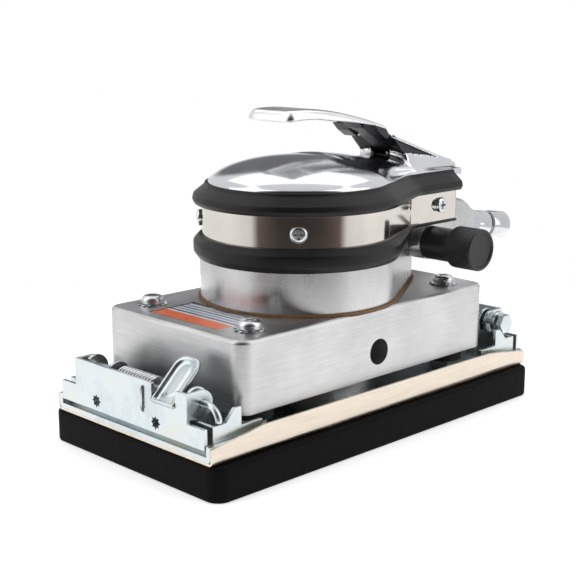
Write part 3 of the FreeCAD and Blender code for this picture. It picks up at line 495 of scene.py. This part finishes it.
def soft_profile(points):
    """A profile of (radius, height, fillet) corners as (radius, height) points."""
    made = [points[0][:2]]
    for before, here, after in zip(points, points[1:], points[2:]):
        if here[2] > 0:
            made += rounded_corner(*before[:2], *here[:2], *after[:2], here[2])
        else:
            made.append(here[:2])
    return made + [points[-1][:2]]


def placed(vertices, origin, axis):
    """Vertices made about Z, laid along axis from origin."""
    turn = Vector((0, 0, 1)).rotation_difference(Vector(axis)).to_matrix()
    return [turn @ Vector(v) + Vector(origin) for v in vertices]


# ---------------------------------------------------------------- shapes from distance fields

def smooth_max(a, b, r):
    """The larger of two fields, rounded where they are nearly equal."""
    if r <= 0:
        return np.maximum(a, b)
    h = np.clip(0.5 + 0.5 * (a - b) / r, 0, 1)
    return b + (a - b) * h + r * h * (1 - h)


def smooth_min(a, b, r):
    return -smooth_max(-a, -b, r)


def field_slope(field, points, step):
    x, y, z = points.T
    return np.stack([field(x + step, y, z) - field(x - step, y, z),
                     field(x, y + step, z) - field(x, y - step, z),
                     field(x, y, z + step) - field(x, y, z - step)], axis=1) / (2 * step)


def cell_points(value, inside, axes, pitch):
    """One point in each cell that the surface crosses: the mean of its edges' crossings."""
    shape = tuple(n - 1 for n in value.shape)
    total = np.zeros(shape + (3,))
    count = np.zeros(shape)

    def corner(array, offset):
        return array[tuple(slice(o, o + n) for o, n in zip(offset, shape))]

    for axis in range(3):
        for u in (0, 1):
            for v in (0, 1):
                low = [u, v]
                low.insert(axis, 0)
                high = list(low)
                high[axis] = 1
                a, b = corner(value, low), corner(value, high)
                crossed = corner(inside, low) != corner(inside, high)
                share = np.where(crossed, a / np.where(crossed, a - b, 1.0), 0.0)
                for k in range(3):
                    along = share if k == axis else float(low[k])
                    total[..., k] += np.where(crossed, along, 0.0)
                count += crossed
    found = np.argwhere(count > 0)
    mean = total[tuple(found.T)] / count[tuple(found.T)][:, None]
    low_corner = np.array([a[0] for a in axes])
    index = -np.ones(shape, int)
    index[tuple(found.T)] = np.arange(len(found))
    return low_corner + (found + mean) * pitch, index


def cell_faces(inside, index):
    """Quads across every grid edge whose ends lie on different sides."""
    faces = []
    for axis in range(3):
        u, v = (axis + 1) % 3, (axis + 2) % 3
        ahead = np.roll(inside, -1, axis=axis)
        crossed = inside != ahead
        trim = [slice(1, -1)] * 3
        trim[axis] = slice(0, -1)
        mask = np.zeros_like(crossed)
        mask[tuple(trim)] = crossed[tuple(trim)]
        spots = np.argwhere(mask)
        corners = []
        for du, dv in ((0, 0), (-1, 0), (-1, -1), (0, -1)):
            cell = spots.copy()
            cell[:, u] += du
            cell[:, v] += dv
            corners.append(index[tuple(cell.T)])
        quad = np.stack(corners, axis=1)
        outward = ~inside[tuple(spots.T)]
        quad[outward] = quad[outward][:, ::-1]
        faces.append(quad)
    return np.concatenate(faces)


def from_field(field, low, high, pitch):
    """Vertices and quads of the surface where the field is zero; inside is negative."""
    axes = [np.arange(a - 2.5 * pitch, b + 3.5 * pitch, pitch) for a, b in zip(low, high)]
    value = field(*np.meshgrid(*axes, indexing="ij"))
    inside = value < 0
    points, index = cell_points(value, inside, axes, pitch)
    for _ in range(3):
        slope = field_slope(field, points, pitch * 0.2)
        steep = np.maximum((slope ** 2).sum(axis=1), 0.05)
        step = slope * (field(*points.T) / steep)[:, None]
        points = points - np.clip(step, -pitch * 0.5, pitch * 0.5)
    return points, cell_faces(inside, index)


# ---------------------------------------------------------------- working pad and plates

def build_pad():
    """Moulded rubber pad with rounded corners, a soft lower edge and a step under the plate."""
    low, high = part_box("rubber_pad")
    half, centre = (high - low) / 2, (low + high) / 2
    corner = 6.0 * MM
    levels = [(-6.0, 0.0), (-1.2, 0.0), (-0.45, 0.18), (-0.10, 0.6), (0.0, 1.2), (0.0, 6.0), (0.0, 11.6),
              (-0.12, 12.4), (-0.45, 12.9), (-1.1, 13.2), (-6.0, 13.2)]
    steps = 10
    vertices = []
    for grow, z in levels:
        for sx, sy, start in ((1, 1, 0), (-1, 1, 1), (-1, -1, 2), (1, -1, 3)):
            cx = centre.x + sx * (half.x - corner)
            cy = centre.y + sy * (half.y - corner)
            for i in range(steps + 1):
                angle = (start + i / steps) * math.pi / 2
                r = corner + grow * MM
                vertices.append((cx + r * math.cos(angle), cy + r * math.sin(angle), low.z + z * MM))
    faces = rod_faces(4 * (steps + 1), len(levels))
    pad = make_piece("moulded_pad", vertices, faces, "pad", "pad_rubber", ["rubber_pad"])


def build_plates():
    edge = bpy.context.scene.sander_sizes.sheet_edge
    dress("flange_plate", "flange_steel", edge)
    dress("carrier_plate", "zinc_steel", edge)
    dress("bearing_hub", "cast_aluminium")
    dress("leg_nuts", "zinc_steel")
    dress("support_legs", "leg_rubber")
    dress("hub_screws", "screw_chrome")


# ---------------------------------------------------------------- clamps

def coil(name, centre, radius, wire, y0, y1, turns, body, stands_for, sides=10, steps=28):
    """Torsion spring about a rod that runs along Y."""
    vertices = []
    count = turns * steps
    for i in range(count + 1):
        angle = TURN * i / steps
        out = Vector((math.cos(angle), 0, math.sin(angle)))
        at = Vector(centre) + out * radius + Vector((0, y0 + (y1 - y0) * i / count, 0))
        for k in range(sides):
            a = TURN * k / sides
            vertices.append(at + out * (wire * math.cos(a)) + Vector((0, wire * math.sin(a), 0)))
    make_piece(name, vertices, rod_faces(sides, count + 1), body, "hard_steel", stands_for)


def build_clamps():
    sizes = bpy.context.scene.sander_sizes
    for end, body, sign in (("front", "front_jaw", 1), ("rear", "rear_jaw", -1)):
        for part in ("bracket", "jaw", "rod", "sleeve"):
            dress(f"{end}_clamp_{part}", "zinc_steel", sizes.sheet_edge)
        low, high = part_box(f"{end}_clamp_spring")
        wire, play = 0.55 * MM, 0.05 * MM
        rod = Vector((sign * FRONT_ROD.x, 0, FRONT_ROD.z))
        coil(f"{end}_coil", rod, (high.x - low.x) / 2 - wire - play, wire, low.y + wire, high.y - wire,
             sizes.spring_turns, "pad", [f"{end}_clamp_spring"])
        thumb_tab(end, body, sign)
        spring_hook(end, body, sign)


def thumb_tab_gap(u, v, w):
    """Pressed tab in millimetres: u along it, v across, w out of its hollow face."""
    outer = smooth_max(smooth_max(np.abs(v) - TAB_HALF, u - TAB_LONG, 5.0), -TAB_WALL - w, 2.0)
    outer = smooth_max(outer, -u, 0.3)
    shell = smooth_max(outer, -(outer + TAB_WALL), 0.4)
    rib = np.hypot(np.maximum(np.abs(u - 11.0) - 4.5, 0.0), v) - 2.2
    dish = smooth_max(rib, np.abs(w + 0.35) - 0.45, 0.5)
    return smooth_max(smooth_min(shell, dish, 0.5), w - 1.3, 0.6)


def turned_round(points, sign):
    """Points of the front clamp as they are, or turned half round for the rear one."""
    return [Vector((sign * p[0], sign * p[1], p[2])) for p in points]


def thumb_tab(end, body, sign):
    """Thumb tab in the jaw's notch, leaning back over the rod."""
    points, faces = from_field(thumb_tab_gap, (0.0, -TAB_HALF, -TAB_WALL), (TAB_LONG, TAB_HALF, 2.2), 0.4)
    low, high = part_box("front_thumb_lever")
    foot = Vector((low.x / MM + TAB_WALL, (low.y + high.y) / 2 / MM, TAB_FOOT_Z))
    along = Vector((math.sin(TAB_LEAN), 0, math.cos(TAB_LEAN)))
    out = Vector((-along.z, 0, along.x))
    made = [(foot + along * u + Vector((0, v, 0)) + out * w) * MM for u, v, w in points]
    make_piece(f"{end}_thumb_tab", turned_round(made, sign), faces[:, ::-1], body, "zinc_steel",
               [f"{end}_thumb_lever"])


def spring_hook(end, body, sign):
    """End of the clamp spring, bent down over the jaw's face at its slot."""
    spine = [(-90.6, 35.2), (-93.4, 35.4), (-94.4, 35.0), (-94.65, 34.0), (-94.6, 30.0), (-94.6, 26.4)]
    sides = 8
    vertices = []
    for i, (x, z) in enumerate(spine):
        before, after = spine[max(i - 1, 0)], spine[min(i + 1, len(spine) - 1)]
        along = Vector((after[0] - before[0], 0, after[1] - before[1])).normalized()
        out = along.cross(Vector((0, 1, 0)))
        for k in range(sides):
            a = TURN * k / sides
            spot = Vector((x, HOOK_Y, z)) + (out * math.cos(a) + Vector((0, math.sin(a), 0))) * HOOK_WIRE
            vertices.append(spot * MM)
    faces = rod_faces(sides, len(spine))
    make_piece(f"{end}_spring_hook", turned_round(vertices, sign), faces, body, "hard_steel")


# ---------------------------------------------------------------- housing and body

def build_housing():
    dress("lower_housing", "cast_aluminium")
    dress("housing_gasket", "gasket_fibre")
    dress("motor_body", "body_aluminium")
    dress("label_plate", "label_film")
    dress("housing_screws", "screw_chrome")
    build_washers()


def build_washers():
    """Lock washers under the four housing screws."""
    low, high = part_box("toothed_washers")
    reach, thick = 6.0 * MM, 0.4 * MM
    washer = toothed_washer(2.6 * MM, 4.9 * MM, reach, thick)
    vertices, faces = [], []
    for cx in (low.x + reach, high.x - reach):
        for cy in (low.y + reach, high.y - reach):
            faces += moved(washer[1], len(vertices))
            vertices += [(x + cx, y + cy, z + low.z) for x, y, z in washer[0]]
    make_piece("twisted_washers", vertices, faces, "housing", "screw_chrome", ["toothed_washers"],
               smooth=False)


def toothed_washer(bore, body, reach, thick, teeth=12, share=0.62, twist=0.48 * MM, root=0.3 * MM):
    """One lock washer about Z; each tooth fills that share of its pitch and is twisted up on one side."""
    vertices, faces = revolved([(body, 0.0), (body, thick), (bore, thick)], steps=48)
    inner = body - root
    for i in range(teeth):
        first, last = TURN * i / teeth, TURN * (i + share) / teeth
        corners = [(inner, first, 0.0), (reach, first, 0.0), (reach, last, twist), (inner, last, 0.0)]
        faces += moved(rod_faces(len(corners), 2), len(vertices))
        for lift in (0.0, thick):
            vertices += [(r * math.cos(a), r * math.sin(a), z + lift) for r, a, z in corners]
    return vertices, faces


def build_band():
    dress("steel_band", "band_steel")
    dress("band_screws", "screw_chrome")


# ---------------------------------------------------------------- head

def ring_profile(corners):
    """A closed profile in millimetres of (outward, height, fillet) corners, rounded."""
    points = []
    count = len(corners)
    for i, here in enumerate(corners):
        before, after = corners[i - 1], corners[(i + 1) % count]
        if here[2] > 0:
            points += rounded_corner(*before[:2], *here[:2], *after[:2], here[2], 4)
        else:
            points.append(here[:2])
    return [(out * MM, z * MM) for out, z in points]


def bumper(name, profile, node, wall=0.0, top=0.0, thin_out=0.0, thin_high=0.0):
    """A closed profile drawn along the head's outline, thinned by those shares towards wall and top."""
    path = head_path()
    thins_from, thins_over = 20.0 * MM, 20.0 * MM
    vertices = []
    for x, y, nx, ny in path:
        share = min(max((x - thins_from) / thins_over, 0.0), 1.0)
        share = share * share * (3 - 2 * share)
        for out, z in profile:
            near = wall + (out - wall) * (1 - thin_out * share)
            drop = (top - z) * (1 - thin_high * share)
            vertices.append((x + nx * near, y + ny * near, top - drop))
    make_piece(name, vertices, rod_faces(len(profile), len(path)), "housing", "grip_rubber", [node])


def build_grips():
    """Rubber bumpers above and below the band; the lower one is a narrow strip along the neck."""
    top = BAND_HIGH.z / MM
    upper = ring_profile([(-0.95, top, 0), (3.0, top, 1.2), (3.95, top + 2.0, 1.5), (3.4, top + 4.0, 1.0),
                          (-0.8, top + 7.4, 1.5), (-1.4, top + 8.7, 0.4), (-2.5, top + 8.7, 0.3),
                          (-2.5, top + 5.8, 0), (-0.95, top + 5.75, 0)])
    bumper("upper_bumper", upper, "upper_grip_ring")
    low, high = (corner.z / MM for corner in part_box("lower_grip_ring"))
    wall = -0.9
    lower = ring_profile([(wall, low, 0.3), (1.8, low, 1.2), (3.6, low + 2.6, 1.8), (3.7, high - 2.6, 1.8),
                          (1.4, high, 1.0), (wall, high, 0.2)])
    bumper("lower_bumper", lower, "lower_grip_ring", wall * MM, high * MM, thin_out=0.58, thin_high=0.85)


def ellipsoid_gap(across, up, half_width, rise):
    """Nearly the distance to an ellipse of that half width and rise."""
    share = np.sqrt((across / half_width) ** 2 + (up / rise) ** 2)
    steep = np.sqrt((across / half_width ** 2) ** 2 + (up / rise ** 2) ** 2)
    return (share - 1) * share / np.maximum(steep, 1e-3)


def outline_gap(x, y, radius, half):
    """Distance in plan to the head's outline, in millimetres."""
    ahead, side = x - HEAD_X / MM, np.abs(y)
    circle = np.hypot(ahead, side) - radius
    tangent = ahead * math.sin(NECK_ANGLE) + side * math.cos(NECK_ANGLE) - radius
    front = np.where(side * math.sin(NECK_ANGLE) > ahead * math.cos(NECK_ANGLE), circle, tangent)
    return smooth_min(front, np.maximum(side - half, -ahead), 1.46)


def hump_gaps(x, z):
    """Distances to the hump's sloping top and to its leaning front face, in millimetres."""
    top = (z - HUMP_Z0 - (HUMP_X0 - x) * math.tan(HUMP_SLOPE)) * math.cos(HUMP_SLOPE)
    front = ((HUMP_X0 - x) + (HUMP_Z0 - z)) * math.sqrt(0.5)
    return top, front


def head_cap_gap(x, y, z):
    """Polished cap in millimetres: dome, saddle and hollow valve hump blended into one skin."""
    sizes = bpy.context.scene.sander_sizes
    base_z = CAP_LOW.z / MM
    outline = outline_gap(x, y, CAP_R, NECK_HALF / MM) + CAP_INSET
    from_axis = np.hypot(x - HEAD_X / MM, y)
    dome = ellipsoid_gap(from_axis, z - base_z, sizes.dome_radius / MM, sizes.dome_rise / MM)
    crest = np.interp(x, CREST_X, CREST_Z)
    saddle = ellipsoid_gap(np.abs(y), z - base_z, SADDLE_HALF, crest - base_z)
    saddle = np.maximum(saddle, SADDLE_START - x)
    deck = z - base_z - CAP_DECK
    base = smooth_min(smooth_min(dome, saddle, 6.0), deck, 1.6)
    base = np.maximum(smooth_max(base, outline, 0.6), x - CAP_END)
    top, front = hump_gaps(x, z)
    side = np.abs(y) - HUMP_HALF
    hump = smooth_max(smooth_max(side, top, 2.6), smooth_max(front, x - HUMP_X1, 0.6), 0.8)
    whole = smooth_min(base, hump, sizes.fillet / MM)
    floor = np.where(x > CAP_END, base_z + 0.4, base_z) - z
    room = np.maximum(np.maximum(side + 0.5, top + HUMP_WALL), np.maximum(x - VALVE_END, HUMP_FLOOR - z))
    way = np.maximum(np.maximum(np.abs(y) - ARM_SLOT, x - ARM_SLOT_END), HUMP_FLOOR - z)
    open_space = np.minimum(np.maximum(room, front), np.maximum(way, front - HUMP_WALL))
    stem = np.hypot(x - VALVE_X, y) - np.where(z < HUMP_FLOOR + 0.4, 4.3, 2.2)
    for hollow in (open_space, stem):
        whole = smooth_max(whole, -hollow, 0.3)
    return smooth_max(whole, floor, 0.3)


def field_piece(name, gap, low, high, pitch, body, slot, stands_for=()):
    """A piece whose skin is where gap, a distance in millimetres, is zero."""
    points, faces = from_field(gap, low, high, pitch)
    return make_piece(name, points * MM, faces, body, slot, stands_for)


def build_head_cap():
    low, high = CAP_LOW / MM, CAP_HIGH / MM
    field_piece("polished_cap", head_cap_gap, low, high, 0.6, "housing", "polished_aluminium", ["head_cap"])
    # The valve block and the two strips at its front are black as painted shade for the hump's shaded front
    # face.
    dress("valve_block", "block_black")
    shade_strip, inner, outer = [(40.0, 117.9), (50.6, 107.3), (51.3, 108.0), (40.9, 118.4)], 5.4, 12.6
    prisms("painted_shade_face", [(shade_strip, -outer, -inner), (shade_strip, inner, outer)], "housing", "block_black")


# ---------------------------------------------------------------- throttle lever

def palm_plate_gap(x, y, z):
    """Pressed lever plate in millimetres, its edges turned down all round the palm."""
    crown = np.polyval(PALM_CURVE, x)
    top = (z - crown) * 0.985
    outer = smooth_max(np.abs(y) - PALM_HALF, top, PALM_ROUND)
    outer = smooth_max(outer, PALM_TIP - x, PALM_ROUND)
    outer = smooth_max(outer, x - PALM_END, 0.8)
    hollow = np.maximum(outer + 1.6, x - PALM_END - 4.0)
    shell = smooth_max(outer, -hollow, 0.5)
    rim = np.interp(x, [4.0, 30.0], [4.2, 1.9])
    return smooth_max(shell, crown - rim - z, 0.9)


def build_lever():
    """Palm plate in nickel, and the arms that carry it on the pin, black as painted shade."""
    low, high = (PALM_TIP, -PALM_HALF, 117.0), (PALM_END, PALM_HALF, 133.0)
    field_piece("palm_lever", palm_plate_gap, low, high, 0.55, "throttle", "lever_nickel", ["throttle_lever"])
    lever_arms()
    dress("lever_pin", "hard_steel")


def lever_arms():
    """Arm from the plate to the pin, relieved over the valve stem, and the web beside it, both black as
    painted shade under the plate's end.
    """
    arm = [(26.0, 124.4), (33.0, 122.8), (36.0, 121.7), (57.0, 112.4), (65.0, 109.8), (65.4, 105.4),
           (60.0, 104.8), (56.5, 106.5), (56.5, 110.2), (48.5, 110.2), (40.0, 116.6), (30.0, 121.4)]
    shade_web = [(28.5, 123.2), (36.2, 121.3), (38.4, 118.3), (36.5, 117.0), (32.0, 119.8)]
    shade_web_half = 12.3
    parts = [(arm, -ARM_HALF, ARM_HALF), (shade_web, -shade_web_half, -ARM_HALF), (shade_web, ARM_HALF, shade_web_half)]
    arms = prisms("lever_arms", parts, "throttle", "block_black", ["throttle_lever"])
    round_edges(arms, 0.15 * MM)


def prisms(name, parts, body, slot, stands_for=()):
    """One piece from several outlines, each drawn between two heights of Y."""
    vertices, faces = [], []
    for outline, y0, y1 in parts:
        points, walls = prism(outline, y0, y1)
        faces += moved(walls, len(vertices))
        vertices += points
    return make_piece(name, vertices, faces, body, slot, stands_for, smooth=False)


def prism(outline, y0, y1):
    """Vertices and faces of an outline of (x, z) millimetres drawn from y0 to y1."""
    turned = sum(a[0] * b[1] - b[0] * a[1] for a, b in zip(outline, outline[1:] + outline[:1])) > 0
    ordered = outline if turned else outline[::-1]
    return [(x * MM, y * MM, z * MM) for y in (y0, y1) for x, z in ordered], rod_faces(len(outline), 2)


def build_regulator():
    """Knurled knob with a dished face, and its sleeve."""
    low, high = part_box("regulator_knob")
    radius, length = (high.x - low.x) / 2, high.y - low.y
    knurls = bpy.context.scene.sander_sizes.knurls

    def ridges(angle, r, z):
        if r < radius - 0.6 * MM or z > length - 0.9 * MM:
            return 0.0
        return -0.35 * MM * (0.5 - 0.5 * math.cos(knurls * angle)) ** 2

    corners = [(0, 0, 0), (radius - 0.05 * MM, 0, 0.4 * MM), (radius - 0.05 * MM, length, 0.8 * MM),
               (radius - 1.5 * MM, length, 0.3 * MM), (radius - 1.9 * MM, length - 0.7 * MM, 0.3 * MM),
               (0.4 * MM, length - 0.7 * MM, 0)]
    profile = soft_profile(corners)[1:]
    vertices, faces = revolved([(0.2 * MM, 0.0)] + profile, steps=knurls * 8, ripple=ridges)
    origin = Vector(((low.x + high.x) / 2, high.y, (low.z + high.z) / 2))
    make_piece("knurled_knob", placed(vertices, origin, (0, -1, 0)), faces, "regulator", "black_plastic",
               ["regulator_knob"])
    dress("regulator_sleeve", "black_plastic")
    dress("regulator_spindle", "hard_steel")


def build_inlet():
    dress("inlet_bushing", "fitting_chrome", 0.2 * MM)
    dress("inlet_fitting", "fitting_chrome", 0.25 * MM)
    dress("inlet_screen", "bronze")
    dress("exhaust_muffler", "bronze")


def build_inner_works():
    """Finishes of the air motor, its valve and the crank."""
    slots = {
        "hard_steel": ["cylinder_liner", "lower_bearing", "upper_bearing", "valve_stem", "valve_spring",
                       "rotor", "spindle", "counterweight_screws", "crank_pin_bearing"],
        "cast_iron": ["lower_end_plate", "upper_end_plate", "counterweight"],
        "bronze": ["valve_seat"],
        "seal_rubber": ["valve_seal"],
        "vane_composite": ["rotor_vanes"],
    }
    for slot, nodes in slots.items():
        for node in nodes:
            dress(node, slot)


# ---------------------------------------------------------------- stage

def area_light(name, place, target, width, height, watts):
    data = bpy.data.lights.new(name, "AREA")
    data.shape = "RECTANGLE"
    data.size = width
    data.size_y = height
    data.energy = watts
    lamp = bpy.data.objects.new(name, data)
    bpy.context.scene.collection.objects.link(lamp)
    lamp.location = place
    lamp.rotation_euler = (Vector(target) - Vector(place)).to_track_quat("-Z", "Y").to_euler()


def around(azimuth, elevation, distance):
    """A point at that azimuth and elevation in degrees; azimuth 0 is in front of -Y."""
    a, e = math.radians(azimuth), math.radians(elevation)
    return Vector((math.sin(a) * math.cos(e), -math.cos(a) * math.cos(e), math.sin(e))) * distance


def build_floor(radius):
    material, tree, shader = new_material("floor_paper")
    cloud = noise(tree, 3.0, 2.0)
    tint = ramp(tree, cloud, [(0.3, (0.90, 0.90, 0.90)), (0.7, (0.93, 0.93, 0.93))])
    tree.links.new(tint, shader.inputs["Base Color"])
    shader.inputs["Roughness"].default_value = 0.9
    shader.inputs["Emission Color"].default_value = (1.0, 1.0, 1.0, 1.0)
    shader.inputs["Emission Strength"].default_value = 0.5
    mesh = bpy.data.meshes.new("floor")
    steps = 96
    angles = [TURN * i / steps for i in range(steps)]
    rim = [(radius * math.cos(a), radius * math.sin(a), 0) for a in angles]
    mesh.from_pydata(rim, [], [tuple(range(steps))])
    floor = bpy.data.objects.new("floor", mesh)
    floor.data.materials.append(material)
    bpy.context.scene.collection.objects.link(floor)


def towards(tree, place, direction):
    """How nearly the studio's direction is that one: 1 along it, 0 square to it."""
    facing = tree.nodes.new("ShaderNodeVectorMath")
    facing.operation = "DOT_PRODUCT"
    facing.inputs[1].default_value = direction
    tree.links.new(place.outputs["Generated"], facing.inputs[0])
    return facing.outputs["Value"]


def build_world():
    """White studio, darker on the camera's side and at a screen beyond the tool, and white to the camera."""
    world = bpy.data.worlds.new("studio")
    bpy.context.scene.world = world
    world.use_nodes = True
    tree = world.node_tree
    tree.nodes.clear()
    place = add_node(tree, "TexCoord")
    near = ramp(tree, towards(tree, place, around(CAMERA_AZIMUTH, 8.0, 1.0)),
                [(0.0, (0.80, 0.80, 0.81)), (0.50, (0.66, 0.66, 0.67)),
                 (0.62, (0.11, 0.085, 0.075)), (0.90, (0.035, 0.030, 0.030))])
    screen = ramp(tree, towards(tree, place, around(CAMERA_AZIMUTH + 180.0, 24.0, 1.0)),
                  [(0.0, (1, 1, 1)), (0.925, (1, 1, 1)), (0.955, (0.22, 0.22, 0.23))])
    walls = multiplied(tree, near, screen, 1.0)
    room = add_node(tree, "Background", Strength=1.0)
    white = add_node(tree, "Background", Color=(1, 1, 1, 1))
    tree.links.new(walls, room.inputs["Color"])
    rays = add_node(tree, "LightPath")
    mix = add_node(tree, "MixShader")
    tree.links.new(rays.outputs["Is Camera Ray"], mix.inputs["Fac"])
    tree.links.new(room.outputs["Background"], mix.inputs[1])
    tree.links.new(white.outputs["Background"], mix.inputs[2])
    tree.links.new(mix.outputs["Shader"], add_node(tree, "OutputWorld").inputs["Surface"])


def build_camera(stage):
    data = bpy.data.cameras.new("camera")
    data.lens = stage.lens
    camera = bpy.data.objects.new("camera", data)
    camera.location = CAMERA_PLACE
    camera.rotation_euler = (math.pi / 2 - stage.elevation, 0, stage.azimuth)
    bpy.context.scene.collection.objects.link(camera)
    bpy.context.scene.camera = camera


def build_stage():
    stage = bpy.context.scene.sander_stage
    build_floor(stage.floor_radius)
    build_world()
    build_camera(stage)
    middle = (0, 0, 0.06)
    area_light("left_box", around(-118, 34, 1.1), middle, 0.9, 1.5, 3.6)
    area_light("right_box", around(30, 32, 1.1), middle, 0.9, 1.5, 3.6)
    area_light("top_box", around(135.5, 62, 1.2), middle, 1.4, 0.7, 2.4)
    bpy.context.scene.view_settings.view_transform = "Standard"


# ---------------------------------------------------------------- operators

class SANDER_OT_pad(bpy.types.Operator):
    """Moulded rubber pad"""
    bl_idname = "sander.pad"
    bl_label = "Rubber pad"
    bl_options = {"REGISTER", "UNDO"}

    def execute(self, context):
        build_pad()
        return {"FINISHED"}


class SANDER_OT_plates(bpy.types.Operator):
    """Pad plate, carrier, hub and rubber legs"""
    bl_idname = "sander.plates"
    bl_label = "Plates and legs"
    bl_options = {"REGISTER", "UNDO"}

    def execute(self, context):
        build_plates()
        return {"FINISHED"}


class SANDER_OT_clamps(bpy.types.Operator):
    """Abrasive clamps at both ends"""
    bl_idname = "sander.clamps"
    bl_label = "Clamps"
    bl_options = {"REGISTER", "UNDO"}

    def execute(self, context):
        build_clamps()
        return {"FINISHED"}


class SANDER_OT_housing(bpy.types.Operator):
    """Lower housing, motor body, gasket, label and their screws"""
    bl_idname = "sander.housing"
    bl_label = "Housing and body"
    bl_options = {"REGISTER", "UNDO"}

    def execute(self, context):
        build_housing()
        return {"FINISHED"}


class SANDER_OT_band(bpy.types.Operator):
    """Bright band and its screws"""
    bl_idname = "sander.band"
    bl_label = "Band"
    bl_options = {"REGISTER", "UNDO"}

    def execute(self, context):
        build_band()
        return {"FINISHED"}


class SANDER_OT_grips(bpy.types.Operator):
    """Rubber bumpers of the head"""
    bl_idname = "sander.grips"
    bl_label = "Bumpers"
    bl_options = {"REGISTER", "UNDO"}

    def execute(self, context):
        build_grips()
        return {"FINISHED"}


class SANDER_OT_head_cap(bpy.types.Operator):
    """Polished dome, hump and valve block"""
    bl_idname = "sander.head_cap"
    bl_label = "Head cap"
    bl_options = {"REGISTER", "UNDO"}

    def execute(self, context):
        build_head_cap()
        return {"FINISHED"}


class SANDER_OT_lever(bpy.types.Operator):
    """Palm lever and its pin"""
    bl_idname = "sander.lever"
    bl_label = "Palm lever"
    bl_options = {"REGISTER", "UNDO"}

    def execute(self, context):
        build_lever()
        return {"FINISHED"}


class SANDER_OT_regulator(bpy.types.Operator):
    """Speed regulator"""
    bl_idname = "sander.regulator"
    bl_label = "Regulator"
    bl_options = {"REGISTER", "UNDO"}

    def execute(self, context):
        build_regulator()
        return {"FINISHED"}


class SANDER_OT_inlet(bpy.types.Operator):
    """Air inlet and exhaust"""
    bl_idname = "sander.inlet"
    bl_label = "Inlet"
    bl_options = {"REGISTER", "UNDO"}

    def execute(self, context):
        build_inlet()
        return {"FINISHED"}


class SANDER_OT_inner_works(bpy.types.Operator):
    """Air motor, valve and crank"""
    bl_idname = "sander.inner_works"
    bl_label = "Inner works"
    bl_options = {"REGISTER", "UNDO"}

    def execute(self, context):
        build_inner_works()
        return {"FINISHED"}


class SANDER_OT_stage(bpy.types.Operator):
    """Floor, lights and camera"""
    bl_idname = "sander.stage"
    bl_label = "Stage"
    bl_options = {"REGISTER", "UNDO"}

    def execute(self, context):
        build_stage()
        return {"FINISHED"}


STEPS = (SANDER_OT_pad, SANDER_OT_plates, SANDER_OT_clamps, SANDER_OT_housing, SANDER_OT_band,
         SANDER_OT_grips, SANDER_OT_head_cap, SANDER_OT_lever, SANDER_OT_regulator, SANDER_OT_inlet,
         SANDER_OT_inner_works, SANDER_OT_stage)


class SANDER_PT_panel(bpy.types.Panel):
    """Settings and steps in the order they are built"""
    bl_idname = "SANDER_PT_panel"
    bl_label = "Orbital sander"
    bl_space_type = "VIEW_3D"
    bl_region_type = "UI"
    bl_category = "Sander"

    def draw(self, context):
        scene = context.scene
        for settings in (scene.sander_sizes, scene.sander_finishes, scene.sander_stage):
            box = self.layout.box()
            for name in settings.__annotations__:
                box.prop(settings, name)
        for step in STEPS:
            self.layout.operator(step.bl_idname)


SETTINGS = {"sander_finishes": SanderFinishes, "sander_sizes": SanderSizes, "sander_stage": StageSettings}


def register():
    for group in SETTINGS.values():
        bpy.utils.register_class(group)
    for name, group in SETTINGS.items():
        setattr(bpy.types.Scene, name, PointerProperty(type=group))
    for step in STEPS + (SANDER_PT_panel,):
        bpy.utils.register_class(step)


def unregister():
    for step in (SANDER_PT_panel,) + STEPS:
        bpy.utils.unregister_class(step)
    for name in SETTINGS:
        delattr(bpy.types.Scene, name)
    for group in SETTINGS.values():
        bpy.utils.unregister_class(group)


def main():
    register()
    for step in STEPS:
        area, action = step.bl_idname.split(".")
        getattr(getattr(bpy.ops, area), action)()


if __name__ == "__main__":
    main()
